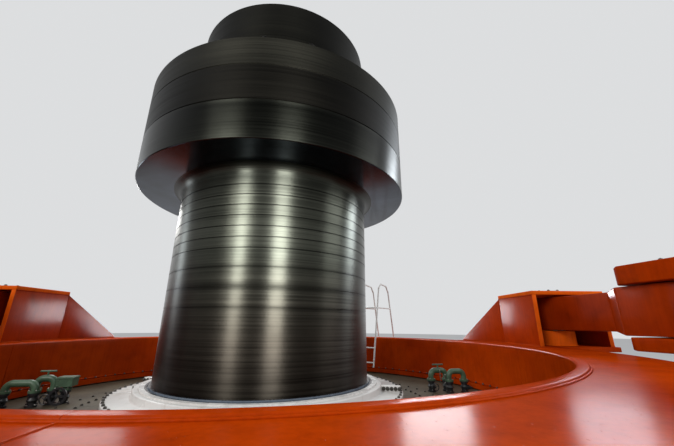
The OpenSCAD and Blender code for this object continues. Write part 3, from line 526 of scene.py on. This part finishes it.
looks = {"turbine_shaft": M_BARREL, "coupling_ring": M_MIDDLE, "generator_shaft": M_UPPER,
         "slide_pad": M_PAD, "seal_ring": M_SEAL, "access_ladder": M_LADDER, "right_pipe_loops": M_GREEN,
         "left_pipe_manifold": M_GREEN, "right_valves": M_BLACK, "left_valves": M_BLACK}
for n, o in NODES.items():
    m = looks.get(n, M_ORANGE)
    if n.startswith(("head_cover", "deck_ring")):
        m = M_SHADED_KHAKI
    elif n.startswith("housing"):
        m = M_WHITE
    elif n.endswith("_pin"):
        m = M_PIN
    o.data.materials.clear()
    o.data.materials.append(m)


# Mesh tools

def polar(r, angle, z=0.0):
    """The point at that distance from the Z axis, angle and height."""
    return r * math.cos(angle), r * math.sin(angle), z


def prism(bm, outline, z0, z1):
    """A closed upright prism over an outline of [x, y] points."""
    low = [bm.verts.new((x, y, z0)) for x, y in outline]
    high = [bm.verts.new((x, y, z1)) for x, y in outline]
    bm.faces.new(low[::-1])
    bm.faces.new(high)
    for i in range(len(low)):
        j = (i + 1) % len(low)
        bm.faces.new((low[i], low[j], high[j], high[i]))
    return bm


def soften(bm, width, segments=2, limit=25):
    """Rounds every edge that turns by more than the limit."""
    bmesh.ops.recalc_face_normals(bm, faces=bm.faces)
    edges = [e for e in bm.edges if len(e.link_faces) == 2 and e.calc_face_angle(0.0) > math.radians(limit)]
    bmesh.ops.bevel(bm, geom=edges, offset=width, segments=segments, profile=0.5, affect="EDGES",
                    clamp_overlap=True)
    return bm


def block(x0, x1, y0, y1, z0, z1, edge):
    """A plate with rounded edges; each pair of limits comes in either order."""
    x0, x1 = sorted((x0, x1))
    y0, y1 = sorted((y0, y1))
    outline = [(x0, y0), (x1, y0), (x1, y1), (x0, y1)]
    return soften(prism(bmesh.new(), outline, z0, z1), edge)


def absorb(bm, other, m=None):
    """Adds another mesh to this one, moved by m."""
    if m is not None:
        other.transform(m)
    me = bpy.data.meshes.new("scratch")
    other.to_mesh(me)
    other.free()
    bm.from_mesh(me)
    bpy.data.meshes.remove(me)
    return bm


def lathe(profile, steps, a0, a1):
    """Turns a closed [radius, height] profile round Z from one angle to another, with both ends closed."""
    bm = bmesh.new()
    cols = []
    for i in range(steps + 1):
        a = a0 + (a1 - a0) * i / steps
        cols.append([bm.verts.new(polar(r, a, z)) for r, z in profile])
    size = len(profile)
    for p, q in zip(cols, cols[1:]):
        for k in range(size):
            bm.faces.new((p[k], q[k], q[(k + 1) % size], p[(k + 1) % size]))
    bm.faces.new(cols[0])
    bm.faces.new(cols[-1][::-1])
    return bm


def spindle(bm, profile, steps, m):
    """Turns an open [radius, height] profile that ends near the axis, closes both ends and moves it by m."""
    rings = [[bm.verts.new(polar(r, math.tau * i / steps, z)) for i in range(steps)] for r, z in profile]
    for a, b in zip(rings, rings[1:]):
        for i in range(steps):
            j = (i + 1) % steps
            bm.faces.new((a[i], a[j], b[j], b[i]))
    bm.faces.new(rings[0][::-1])
    bm.faces.new(rings[-1])
    bmesh.ops.transform(bm, matrix=m, verts=[v for ring in rings for v in ring])
    return bm


def hexagon(bm, m, r, h, washer=1.35):
    """A hexagon head or nut with a chamfered crown, a washer under it, on the XY plane of m."""
    made = []

    def ring(n, radius, z):
        vs = [bm.verts.new(polar(radius, math.tau * i / n, z)) for i in range(n)]
        made.extend(vs)
        return vs

    def join(a, b):
        for i in range(len(a)):
            j = (i + 1) % len(a)
            bm.faces.new((a[i], a[j], b[j], b[i]))

    t = h * 0.22
    w0, w1 = ring(18, r * washer, -0.002), ring(18, r * washer, t)
    join(w0, w1)
    bm.faces.new(w1)
    a, b, c = ring(6, r, t), ring(6, r, h * 0.86), ring(6, r * 0.84, h)
    join(a, b)
    join(b, c)
    bm.faces.new(c)
    d, e = ring(12, r * 0.45, h), ring(12, r * 0.40, h * 1.22)
    join(d, e)
    bm.faces.new(e)
    bmesh.ops.transform(bm, matrix=m, verts=made)
    return bm


def tube(bm, points, radius, sides=8, lumps=0.0, seed=1):
    """A round bar along the points; lumps makes it rise and fall as a weld bead does."""
    rnd = random.Random(seed)
    pts = [Vector(p) for p in points]
    up = Vector((0, 0, 1))
    rings = []
    for i, p in enumerate(pts):
        way = (pts[min(i + 1, len(pts) - 1)] - pts[max(i - 1, 0)]).normalized()
        side = way.cross(up)
        if side.length < 1e-4:
            side = way.cross(Vector((1, 0, 0)))
        side.normalize()
        other = side.cross(way).normalized()
        r = radius * (1 + lumps * (rnd.random() - 0.5))
        rings.append([bm.verts.new(p + side * (r * math.cos(math.tau * k / sides)) +
                                   other * (r * math.sin(math.tau * k / sides))) for k in range(sides)])
    for a, b in zip(rings, rings[1:]):
        for k in range(sides):
            j = (k + 1) % sides
            bm.faces.new((a[k], a[j], b[j], b[k]))
    bm.faces.new(rings[0][::-1])
    bm.faces.new(rings[-1])
    return bm


def line(a, b, step=0.018):
    """Points along a straight line, close enough for a bead's ripples."""
    a, b = Vector(a), Vector(b)
    n = max(2, int((b - a).length / step))
    return [a.lerp(b, i / n) for i in range(n + 1)]


def bead(bm, a, b, radius, lumps, seed):
    """A straight weld bead from one point to another."""
    return tube(bm, line(a, b), radius, 8, lumps, seed)


def circle_points(r, z, n):
    """Points once round the Z axis, with the first repeated at the end."""
    return [polar(r, math.tau * i / n, z) for i in range(n + 1)]


def round_corner(cx, cz, r, a0, a1, n):
    """Points of an arc in a profile, between two angles in degrees."""
    arc = [polar(r, math.radians(a0 + (a1 - a0) * i / n)) for i in range(n + 1)]
    return [(cx + x, cz + z) for x, z, _ in arc]


def place(x, y, z, turn=0.0):
    """A frame at a point, turned round Z."""
    return Matrix.Translation((x, y, z)) @ Matrix.Rotation(turn, 4, "Z")


def facing(x, y, z, axis):
    """A frame whose Z points along the axis."""
    return Matrix.Translation((x, y, z)) @ Vector(axis).to_track_quat("Z", "Y").to_matrix().to_4x4()


def bolt_ring(bm, count, radius, z, r, h, washer, start=0.0):
    """Bolts spaced evenly round the Z axis, the first half a space past the start."""
    for i in range(count):
        a = start + math.tau * (i + 0.5) / count
        hexagon(bm, place(*polar(radius, a, z), a), r, h, washer)
    return bm


def pin_bolts(cx, cy, z, radius, r, h):
    """Six bolts of the keeper plate on a pin's end."""
    bm = bmesh.new()
    for k in range(6):
        x, y, _ = polar(radius, math.tau * k / 6)
        hexagon(bm, place(cx + x, cy + y, z), r, h)
    return bm


def piece(name, bm, material, body, replaces=(), smooth=40, m=None):
    """Turns the mesh into a named piece of the scene that rides on its body."""
    if m is not None:
        bm.transform(m)
    bmesh.ops.recalc_face_normals(bm, faces=bm.faces)
    me = bpy.data.meshes.new(name)
    bm.to_mesh(me)
    bm.free()
    for f in me.polygons:
        f.use_smooth = True
    me.set_sharp_from_angle(angle=math.radians(smooth))
    me.materials.append(material)
    o = bpy.data.objects.new(name, me)
    scene.collection.objects.link(o)
    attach(o, body)
    if replaces:
        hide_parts(*replaces)


RING = Matrix.Rotation(TURN, 4, "Z")
LUG = {"right": RING.copy(), "left": RING @ Matrix.Diagonal((-1, 1, 1, 1))}
PINS = {side: LUG[side] @ Vector((PIN_X, PIN_Y, 0)) for side in LUG}
UPRIGHT = Matrix.Rotation(math.pi / 2, 4, "X")


# Operating ring: wall, lip and plate in quarters

EDGE = 0.008
wall_profile = [(BORE_R, BASE_TOP), (WALL_R, BASE_TOP), (WALL_R, PLATE_LOW - 0.012),
                (WALL_R + 0.012, PLATE_LOW)]
wall_profile += round_corner(RING_R - EDGE, PLATE_LOW + EDGE, EDGE, -90, 0, 3)
wall_profile += round_corner(RING_R - EDGE, PLATE_Z - EDGE, EDGE, 0, 90, 3)
wall_profile += [(RING_R - inset, PLATE_Z) for inset in (0.2, 0.4, 0.6)]
wall_profile += [(BORE_R + LIP_W + 0.006, PLATE_Z)]
wall_profile += round_corner(BORE_R + LIP_W - 0.013, LIP_Z - 0.013, 0.013, 0, 90, 6)
wall_profile += round_corner(BORE_R + 0.018, LIP_Z - 0.018, 0.018, 90, 180, 7)
wall_profile += [(BORE_R, z) for z in (0.90, 0.78, 0.66, 0.54)]


def ring_seam_welds():
    """Beads at the foot and the lip, and up and across the joints between the quarters."""
    bm = bmesh.new()
    tube(bm, circle_points(BORE_R - 0.003, FOOT_TOP + 0.004, RING_BEAD_STEPS), 0.009, 8, 0.35, 3)
    tube(bm, circle_points(BORE_R + LIP_W + 0.004, PLATE_Z + 0.002, RING_BEAD_STEPS), 0.007, 8, 0.5, 4)
    for i in range(QUARTERS):
        a = TURN + i * math.tau / QUARTERS
        bead(bm, polar(BORE_R + 0.001, a, FOOT_TOP + 0.01), polar(BORE_R + 0.001, a, LIP_Z - 0.02),
             0.008, 0.4, 5 + i)
        bead(bm, polar(BORE_R + LIP_W + 0.01, a, PLATE_Z - 0.001), polar(RING_R - 0.01, a, PLATE_Z - 0.001),
             0.006, 0.4, 15 + i)
    return bm


def ring_rib_welds():
    """Beads on both sides of each rib, along the wall and along the two plates."""
    bm = bmesh.new()
    low, high = BASE_TOP + 0.0012, PLATE_LOW - 0.0015
    for i in range(RIBS):
        m = Matrix.Rotation(TURN + math.tau * (i + 0.5) / RIBS, 4, "Z")
        for y in (-RIB_T / 2, RIB_T / 2):
            for p, q in (((WALL_R, y, BASE_TOP + 0.0047), (WALL_R, y, PLATE_LOW - 0.004)),
                         ((WALL_R, y, low), (RIB_END_R, y, low)),
                         ((WALL_R, y, high), (RIB_END_R, y, high))):
                tube(bm, [m @ v for v in line(p, q, 0.03)], 0.010, 6, 0.4, i)
    return bm


for i in range(QUARTERS):
    a0, a1 = TURN + i * math.tau / QUARTERS, TURN + (i + 1) * math.tau / QUARTERS
    wall = lathe(wall_profile, WALL_STEPS, a0 + QUARTER_GAP, a1 - QUARTER_GAP)
    piece(f"ring_wall_{i + 1}", wall, M_ORANGE, "operating_ring",
          [f"ring_quarter_{i + 1}"], 30)
ring_bolts = bolt_ring(bmesh.new(), RING_BOLTS, FOOT_R + 0.020, FOOT_TOP, 0.0135, 0.016, 1.2, TURN)
piece("ring_foot_bolts", ring_bolts, M_BOLT, "operating_ring")
piece("ring_seam_welds", ring_seam_welds(), M_ORANGE, "operating_ring", smooth=80)
piece("ring_rib_welds", ring_rib_welds(), M_ORANGE, "operating_ring", smooth=80)


# Lugs

def side_plate(x):
    """A lug's side plate: straight at the front, then sloping down and turned in."""
    angle = math.atan2(TURN_IN, SLOPE_L)
    mitre = LUG_T * math.tan(angle / 2)
    fx, fy = x - TURN_IN, LUG_BACK + SLOPE_L
    ax, ay, _ = polar(LUG_T, angle)
    plan = [(x, LUG_FRONT), (x, LUG_BACK), (fx, fy), (fx + ax, fy + ay), (x + LUG_T, LUG_BACK + mitre),
            (x + LUG_T, LUG_FRONT)]
    toe = PLATE_Z + TOE_H
    heights = [ROOF_Z, ROOF_Z, toe, toe, ROOF_Z, ROOF_Z]
    bm = bmesh.new()
    low = [bm.verts.new((px, py, PLATE_Z)) for px, py in plan]
    high = [bm.verts.new((px, py, h)) for (px, py), h in zip(plan, heights)]
    for a, b, c, d in ((0, 1, 4, 5), (1, 2, 3, 4)):
        bm.faces.new((low[a], low[b], low[c], low[d]))
        bm.faces.new((high[d], high[c], high[b], high[a]))
    for i in range(6):
        j = (i + 1) % 6
        bm.faces.new((low[i], high[i], high[j], low[j]))
    return soften(bm, 0.006, 2, 20)


def front_edges():
    """Edges of the open front, as a frame a little proud of the plates, in the lighter orange that paints
    light on them.
    """
    bm = bmesh.new()
    for x in PLATE_XS:
        absorb(bm, block(x - 0.001, x + LUG_T + 0.001, LUG_FRONT - 0.003, LUG_FRONT + 0.006, PLATE_Z, ROOF_Z,
                         0.002))
    return bm


def roof_plate():
    """The roof with the back plate and the upper boss."""
    left, right = PLATE_XS[0], PLATE_XS[1] + LUG_T
    bm = block(left - 0.004, right + 0.004, LUG_FRONT - 0.004, LUG_BACK + 0.004, ROOF_Z, LUG_TOP, 0.007)
    absorb(bm, block(left + LUG_T, right - LUG_T, LUG_BACK - LUG_T, LUG_BACK, PLATE_Z, ROOF_Z, 0.004))
    foot = LINK_MID + LINK_H / 2 + BOSS_CLEAR
    return spindle(bm, [(BOSS_R - 0.008, foot), (BOSS_R, foot + 0.008), (BOSS_R, ROOF_Z - 0.012),
                        (BOSS_R + 0.012, ROOF_Z)], BOSS_STEPS, place(PIN_X, PIN_Y, 0))


def shelf_plate():
    """The shelf outside the ring's edge, under the lug, with three brackets below it."""
    rim, steps = 0.05, 40
    front, back, out, root = LUG_FRONT - rim, LUG_BACK + SLOPE_L + rim, LUG_X + LUG_W + rim, LUG_X - 0.5
    a0, a1 = math.atan2(math.sqrt(RING_R ** 2 - root ** 2), root), math.asin(front / RING_R)
    outline = [(out, front), (out, LUG_BACK), (out - TURN_IN, back), (root, back)]
    outline += [polar(RING_R, a0 + (a1 - a0) * i / steps)[:2] for i in range(steps + 1)]
    bm = soften(prism(bmesh.new(), outline, PLATE_LOW, PLATE_Z), 0.006, 2, 50)
    thick, tip = 0.04, LUG_X + LUG_W - TURN_IN
    for y in (front, PIN_Y, LUG_BACK + SLOPE_L / 3 - thick):
        near = math.sqrt(RING_R ** 2 - (y + thick) ** 2) + 0.001
        web = [(near, BASE_TOP), (RING_R + 0.001, BASE_TOP), (tip, PLATE_LOW), (near, PLATE_LOW)]
        rib = soften(prism(bmesh.new(), web, 0, thick), 0.004)
        absorb(bm, rib, Matrix.Translation((0, y + thick, 0)) @ UPRIGHT)
    return bm


def lower_boss():
    """The boss on the shelf that the link's end turns over."""
    top = LINK_MID - LINK_H / 2 - BOSS_CLEAR
    return spindle(bmesh.new(), [(BOSS_R + 0.014, PLATE_Z), (BOSS_R, PLATE_Z + 0.014), (BOSS_R, top - 0.008),
                                 (BOSS_R - 0.008, top)], BOSS_STEPS, place(PIN_X, PIN_Y, 0))


def lug_welds():
    """Beads along the feet and edges of the plates."""
    bm = bmesh.new()
    foot, sides = PLATE_Z + 0.002, (LUG_X - 0.001, LUG_X + LUG_W + 0.001)
    for x in PLATE_XS:
        for edge in (x - 0.002, x + (LUG_T + 0.002)):
            bead(bm, (edge, LUG_FRONT, foot), (edge, LUG_BACK, foot), 0.011, 0.45, 31)
            bead(bm, (edge, LUG_BACK, foot), (edge - TURN_IN, LUG_BACK + SLOPE_L, foot), 0.011, 0.45, 32)
    for x in sides:
        bead(bm, (x, LUG_FRONT + 0.01, ROOF_Z), (x, LUG_BACK, ROOF_Z), 0.008, 0.5, 33)
    bead(bm, (LUG_X + 0.02, LUG_BACK + 0.003, ROOF_Z - 0.002),
         (LUG_X + LUG_W - 0.02, LUG_BACK + 0.003, ROOF_Z - 0.002), 0.010, 0.5, 34)
    for x in sides:
        bead(bm, (x, LUG_BACK, PLATE_Z + 0.01), (x, LUG_BACK, ROOF_Z - 0.01), 0.007, 0.5, 35)
    return bm


for side, m in LUG.items():
    for part, x in zip(("inner", "outer"), PLATE_XS):
        piece(f"{side}_lug_{part}_plate", side_plate(x), M_ORANGE, "operating_ring",
              [f"{side}_lug_{part}_side"], 35, m)
    # The front edges, roof and lower boss take the lighter orange, which paints light on them
    for name, bm, paint, slot, replaced, smooth in (
            ("front_edges", front_edges(), M_LIT_ORANGE, "bright_orange_paint", [], 35),
            ("roof_plate", roof_plate(), M_LIT_ORANGE, "bright_orange_paint", [f"{side}_lug_roof"], 35),
            ("shelf_plate", shelf_plate(), M_ORANGE, "orange_paint", [f"{side}_lug_shelf"], 35),
            ("lower_boss", lower_boss(), M_LIT_ORANGE, "bright_orange_paint", [], 35),
            ("welds", lug_welds(), M_ORANGE, "orange_paint", [], 80),
            ("pin_bolts", pin_bolts(PIN_X, PIN_Y, LUG_TOP + 0.030, 0.150, 0.020, 0.018), M_BOLT,
             "bare_steel", [], 35)):
        piece(f"{side}_lug_{name}", bm, paint, "operating_ring", replaced, smooth, m)


# Links and forks

def link_mesh():
    """A bar with a slim round end at the lug, and a deep and wide round end in the fork."""
    steps = 20
    wide, slim, low, high = DEEP_W / 2, LINK_W / 2, LINK_H / 2, DEEP_H / 2
    plan = [(*polar(slim, math.pi * i / steps)[:2], low) for i in range(steps + 1)]
    plan += [(-slim, -TAPER_START, low), (-wide, -TAPER_END, high), (-wide, -LINK_L, high)]
    for i in range(1, steps):
        x, y, _ = polar(wide, math.pi + math.pi * i / steps)
        plan.append((x, y - LINK_L, high))
    plan += [(wide, -LINK_L, high), (wide, -TAPER_END, high), (slim, -TAPER_START, low)]
    bm = bmesh.new()
    n = len(plan)
    up = [bm.verts.new((x, y, LINK_MID + h)) for x, y, h in plan]
    down = [bm.verts.new((x, y, LINK_MID - h)) for x, y, h in plan]
    for i in range(n):
        j = (i + 1) % n
        bm.faces.new((down[i], down[j], up[j], up[i]))
    taper_l, deep_l, deep_r, taper_r = steps + 1, steps + 2, n - 2, n - 1
    for ring, flip in ((up, 1), (down, -1)):
        bm.faces.new(([ring[k] for k in range(taper_l + 1)] + [ring[taper_r]])[::flip])
        bm.faces.new([ring[taper_r], ring[taper_l], ring[deep_l], ring[deep_r]][::flip])
        bm.faces.new([ring[k] for k in range(deep_l, deep_r + 1)][::flip])
    return soften(bm, 0.012, 3, 14)


def link_welds():
    """Beads across the bar's sides where its taper starts and ends."""
    bm = bmesh.new()
    for sx in (-1, 1):
        for y, x, h in ((-TAPER_START, LINK_W / 2, LINK_H / 2), (-TAPER_END, DEEP_W / 2, DEEP_H / 2)):
            bead(bm, (sx * x, y, LINK_MID - h + 0.012), (sx * x, y, LINK_MID + h - 0.012), 0.009, 0.35, 43)
    return bm


def fork_mesh():
    """Two slabs over and under the link's end, a web behind it, and the rod's root."""
    bm = bmesh.new()
    half = FORK_W / 2
    plan = [(-half, -WEB_BACK), (half, -WEB_BACK), (half, FORK_NOSE - FORK_CORNER),
            (half - FORK_CORNER, FORK_NOSE), (FORK_CORNER - half, FORK_NOSE),
            (-half, FORK_NOSE - FORK_CORNER)]
    for z, t in ((SLAB_LOW - SLAB_T, SLAB_T), (SLAB_HIGH, SLAB_TOP_T)):
        absorb(bm, soften(prism(bmesh.new(), plan, z, z + t), 0.016, 3))
    absorb(bm, block(0.004 - half, half - 0.004, 0.004 - WEB_BACK, -WEB_Y, SLAB_LOW - 0.01, SLAB_HIGH + 0.01,
                     0.008))
    return spindle(bm, [(ROD_R + 0.03, 0.0), (ROD_R + 0.03, 0.04), (ROD_R, 0.055), (ROD_R, ROD_L - 0.012),
                        (ROD_R - 0.012, ROD_L)], BOSS_STEPS, facing(0, -WEB_BACK, LINK_MID, (0, -1, 0)))


def fork_welds():
    """Beads between the web and both slabs, at its sides and along its front."""
    bm = bmesh.new()
    half = FORK_W / 2
    for x in (-half * 0.99, half * 0.99):
        for z in (SLAB_LOW, SLAB_HIGH):
            bead(bm, (x, -WEB_Y, z), (x, -WEB_BACK, z), 0.012, 0.4, 41)
    for z in (SLAB_LOW, SLAB_HIGH):
        bead(bm, (0.01 - half, -WEB_Y, z), (half - 0.01, -WEB_Y, z), 0.012, 0.4, 42)
    return bm


for side, (px, py, _) in PINS.items():
    bar_body, end_body = f"{side}_link_bar", f"{side}_fork_end"
    m = Matrix.Translation((px, py, 0))
    piece(f"{side}_link_bar_body", link_mesh(), M_LINK, bar_body, [f"{side}_link"], 30, m)
    piece(f"{side}_link_welds", link_welds(), M_LINK, bar_body, (), 80, m)
    m = Matrix.Translation((px, py - LINK_L, 0))
    piece(f"{side}_fork_body", fork_mesh(), M_ORANGE, end_body, [f"{side}_fork"], 35, m)
    keeper = pin_bolts(0, 0, SLAB_HIGH + SLAB_TOP_T + 0.030, 0.155, 0.022, 0.020)
    piece(f"{side}_fork_pin_bolts", keeper, M_BOLT, end_body, (), 35, m)
    piece(f"{side}_fork_welds", fork_welds(), M_ORANGE, end_body, (), 80, m)


# Bearing housing and deck

FOOT_Z = DECK_Z + FOOT_PLATE_T
drum_profile = [(SEAT_R, FOOT_Z + 0.001), (BODY_R, FOOT_Z + 0.001), (BODY_R, FLANGE_Z - FLANGE_T - 0.02),
                (BODY_R + 0.02, FLANGE_Z - FLANGE_T)]
drum_profile += round_corner(FLANGE_R - EDGE, FLANGE_Z - FLANGE_T + EDGE, EDGE, -90, 0, 3)
drum_profile += round_corner(FLANGE_R - EDGE, FLANGE_Z - EDGE, EDGE, 0, 90, 3)
drum_profile += round_corner(HOUSING_R + 0.02, FLANGE_Z + 0.02, 0.02, -90, -180, 5)
drum_profile += round_corner(HOUSING_R - 0.014, HOUSING_TOP - 0.014, 0.014, 0, 90, 5)
drum_profile += round_corner(SEAT_R + 0.006, HOUSING_TOP - 0.006, 0.006, 90, 180, 3)
foot_profile = [(SEAT_R, DECK_Z + 0.001), (FOOT_PLATE_R - 0.004, DECK_Z + 0.001),
                (FOOT_PLATE_R, DECK_Z + 0.005), (FOOT_PLATE_R, FOOT_Z - 0.006),
                (FOOT_PLATE_R - 0.006, FOOT_Z), (SEAT_R, FOOT_Z)]
EAR_T, WEBS = 0.040, 11


def housing_half(k):
    """Half of the drum and its collar, with two bolted ears at the split and webs under the collar."""
    start = SPLIT + k * math.pi
    bm = lathe(drum_profile, HALF_STEPS, start + SPLIT_GAP, start + math.pi - SPLIT_GAP)
    sy = 1 - 2 * k
    for sx in (-1, 1):
        ear = block(sx * (HOUSING_R - 0.02), sx * (FLANGE_R - 0.03), sy * 0.002, sy * EAR_T, FLANGE_Z - 0.01,
                    FLANGE_Z + 0.062, 0.006)
        absorb(bm, ear, Matrix.Rotation(SPLIT, 4, "Z"))
    low, high = FOOT_Z - 0.005, FLANGE_Z - FLANGE_T + 0.004
    for i in range(WEBS):
        web = prism(bmesh.new(), [(BODY_R - 0.01, low), (FLANGE_R - 0.02, low), (FLANGE_R - 0.05, high),
                                  (BODY_R - 0.01, high)], -0.014, 0.014)
        turn = Matrix.Rotation(start + math.pi * (i + 0.5) / WEBS, 4, "Z")
        absorb(bm, soften(web, 0.004), turn @ UPRIGHT)
    return bm


def housing_bolts():
    """Bolts of the collar, the foot plate and the ears, and a column of small ones on the drum."""
    bm = bolt_ring(bmesh.new(), COLLAR_BOLTS, FLANGE_R - 0.024, FLANGE_Z, 0.015, 0.018, 1.2)
    bolt_ring(bm, PLATE_BOLTS, FOOT_PLATE_R - 0.060, FOOT_Z, 0.016, 0.017, 1.25)
    for sx in (-1, 1):
        for way in (1, -1):
            for i in range(5):
                at = facing(sx * (HOUSING_R + 0.028 + 0.048 * i), way * EAR_T, FLANGE_Z + 0.031, (0, way, 0))
                hexagon(bm, Matrix.Rotation(SPLIT, 4, "Z") @ at, 0.017, 0.022)
    a = math.radians(191)
    for k in range(5):
        at = polar(HOUSING_R, a, FLANGE_Z + 0.012 + 0.017 * k)
        hexagon(bm, facing(*at, polar(1, a)), 0.0075, 0.010)
    return bm


def deck_bolts():
    """Bolts of the raised ring, and a row on each side of the deck's joint."""
    bm = bolt_ring(bmesh.new(), DECK_BOLTS, DECK_RING_R - 0.055, DECK_RING_TOP, 0.014, 0.014, 1.25)
    for sx in (-1, 1):
        for i in range(5):
            for y in (-0.07, 0.07):
                hexagon(bm, place(sx * (DECK_RING_R + 0.10 + 0.16 * i), y, DECK_Z), 0.018, 0.018)
    return bm


def joint_strips():
    """Dark strips along the deck's joint, from the raised ring to the operating ring."""
    bm = bmesh.new()
    for sx in (-1, 1):
        absorb(bm, block(sx * (DECK_RING_R + 0.01), sx * (FOOT_R - 0.019), -0.006, 0.006, DECK_Z - 0.001,
                         DECK_Z + 0.003, 0.001))
    return bm


for k, half in enumerate(("back", "front")):
    piece(f"housing_{half}_body", housing_half(k), M_WHITE, "pit_frame",
          [f"housing_{half}"], 35)
    foot = lathe(foot_profile, HALF_STEPS, k * math.pi + SPLIT_GAP, (k + 1) * math.pi - SPLIT_GAP)
    piece(f"housing_{half}_foot", foot, M_SHADED_KHAKI, "pit_frame", (), 35)
piece("housing_bolts", housing_bolts(), M_BOLT, "pit_frame")
piece("deck_bolts", deck_bolts(), M_BOLT, "pit_frame")
foot_circle = circle_points(BODY_R + 0.003, FOOT_Z + 0.003, DRUM_BEAD_STEPS)
foot_bead = tube(bmesh.new(), foot_circle, 0.010, 8, 0.3, 51)
piece("housing_foot_weld", foot_bead, M_WHITE, "pit_frame", smooth=80)
piece("deck_joint_strip", joint_strips(), M_BLACK, "pit_frame")


# Pipework

RIGHT_LOOPS = [(2.557, 0.430), (2.787, 0.290)]
LOOP_W = 0.250
RIGHT_FEET = [(x + k, y) for x, y in RIGHT_LOOPS for k in (0.0, LOOP_W)]
LEFT_FEET = [(-3.090, 0.300), (-2.770, 0.300), (-2.845, 0.440), (-2.645, 0.440), (-2.505, 0.440)]
VALVE_Z, WHEEL_OUT = DECK_Z + 0.080, 0.135
# Bolt circle, turn, height, size and height of a head, for a foot's upper and lower flange
FOOT_BOLTS = [(0.052, 0.0, 0.184, 0.0075, 0.009), (0.051, 0.5, 0.024, 0.0065, 0.008)]
DRAIN_X, DRAIN_BEND = 2.690, 0.043
BOX_X0, BOX_X1, BOX_Y = -2.595, -2.415, 0.440


def pipe_bolts():
    """Four bolts on the upper and four on the lower flange of each foot."""
    bm = bmesh.new()
    for x, y in RIGHT_FEET + LEFT_FEET:
        for k in range(4):
            a = math.tau * (k + 0.5) / 4
            for radius, turn, z, r, h in FOOT_BOLTS:
                dx, dy, _ = polar(radius, a + turn)
                hexagon(bm, place(x + dx, y + dy, DECK_Z + z), r, h, 1.15)
    return bm


def drain_tube():
    """A thin tube that drops from the first loop's crown, turns at the bottom and rises again."""
    y, low = 0.380, 0.450
    path = [(DRAIN_X, y + 0.004, 0.620)]
    path += [(DRAIN_X, y, z) for z in (0.600, 0.560, 0.520, 0.480, low)]
    for t in range(1, 9):
        x, drop, _ = polar(DRAIN_BEND, t * math.pi / 8)
        path.append((DRAIN_X + DRAIN_BEND - x, y, low - drop))
    path += [(DRAIN_X + 2 * DRAIN_BEND, y, z) for z in (0.480, 0.510, 0.530)]
    path += [(DRAIN_X + 2 * DRAIN_BEND, y + 0.012, 0.545)]
    return tube(bmesh.new(), path, 0.007, 10)


def valve_bonnets():
    """Stepped bonnets on five of the valves, four of them facing -Y."""
    bm = bmesh.new()
    ahead = [RIGHT_FEET[0], RIGHT_FEET[1], LEFT_FEET[0], LEFT_FEET[3]]
    for (x, y), way in [(f, (0, -1, 0)) for f in ahead] + [(RIGHT_FEET[3], (0.5, -0.9, 0))]:
        spindle(bm, [(0.034, 0.030), (0.034, 0.072), (0.024, 0.078), (0.024, 0.100), (0.012, 0.104),
                     (0.012, 0.135)], 20, facing(x, y, VALVE_Z, way))
    return bm


def handwheels():
    """Small handwheels with three spokes, in front of three valves."""
    bm = bmesh.new()
    for (x, y), r in ((RIGHT_FEET[0], 0.050), (LEFT_FEET[3], 0.055), (LEFT_FEET[0], 0.050)):
        hub = (x, y - WHEEL_OUT, VALVE_Z)
        rim = [polar(r, math.tau * k / 28) for k in range(29)]
        tube(bm, [(x + dx, y - WHEEL_OUT, VALVE_Z + dz) for dx, dz, _ in rim], 0.008)
        for k in range(3):
            dx, dz, _ = polar(r, math.tau * k / 3 + 0.5)
            tube(bm, [hub, (x + dx, y - WHEEL_OUT, VALVE_Z + dz)], 0.005)
    return bm


def valve_box_trim():
    """A lid over the square valve box, and the heads of four screws on its front."""
    bm = block(BOX_X0 - 0.008, BOX_X1 + 0.008, BOX_Y - 0.083, BOX_Y + 0.083, 0.597, 0.613, 0.003)
    for x in (BOX_X0 + 0.02, BOX_X1 - 0.02):
        for z in (0.520, 0.580):
            spindle(bm, [(0.008, 0.0), (0.008, 0.006), (0.004, 0.009)], 12,
                    facing(x, BOX_Y - 0.075, z, (0, -1, 0)))
    return bm


piece("pipe_flange_bolts", pipe_bolts(), M_PIN, "pit_frame")
piece("drain_tube", drain_tube(), M_PIN, "pit_frame")
piece("valve_bonnets", valve_bonnets(), M_BLACK, "pit_frame")
piece("small_handwheels", handwheels(), M_BLACK, "pit_frame")
piece("valve_box_trim", valve_box_trim(), M_GREEN, "pit_frame")


# Coupling nuts on the upper flange

nuts = bolt_ring(bmesh.new(), COUPLING_NUTS, COUPLING_R - 0.220, STUB_Z, 0.115, 0.150, 1.2)
piece("coupling_nuts", nuts, M_UPPER, "shaft_line")


# Floor

def pale_floor():
    """A wide pale disc just under the part."""
    bm = bmesh.new()
    bmesh.ops.create_circle(bm, cap_ends=True, segments=96, radius=45)
    me = bpy.data.meshes.new("floor")
    bm.to_mesh(me)
    bm.free()
    floor = bpy.data.objects.new("floor", me)
    floor.location = (0, 0, -0.001)
    scene.collection.objects.link(floor)
    p = Paint("floor_pale")
    tone = p.mix(p.noise(0.4, 3.0), (0.66, 0.66, 0.655), (0.70, 0.70, 0.695))
    me.materials.append(p.finish(tone, 0.9, Specular_IOR_Level=0.0))


pale_floor()


# Which pieces each card shines on

def shine_on(cards, pieces):
    """Keeps the light of these cards to these pieces."""
    group = bpy.data.collections.new(f"lit_by_{cards[0]}")
    for o in pieces:
        group.objects.link(o)
    for name in cards:
        bpy.data.objects[name].light_linking.receiver_collection = group


shine_on(["strip_left", "strip_right", "edge_left", "edge_right"],
         [NODES[n] for n in ("turbine_shaft", "coupling_ring", "generator_shaft")])
shine_on(["panel_left", "panel_right"],
         [o for o in scene.objects if "_lug_inner" in o.name or "_link_" in o.name])
shine_on(["glare_left", "glare_middle", "glare_right", "glare_lip"],
         [o for o in scene.objects if o.name.startswith(("ring_wall", "ring_seam"))])
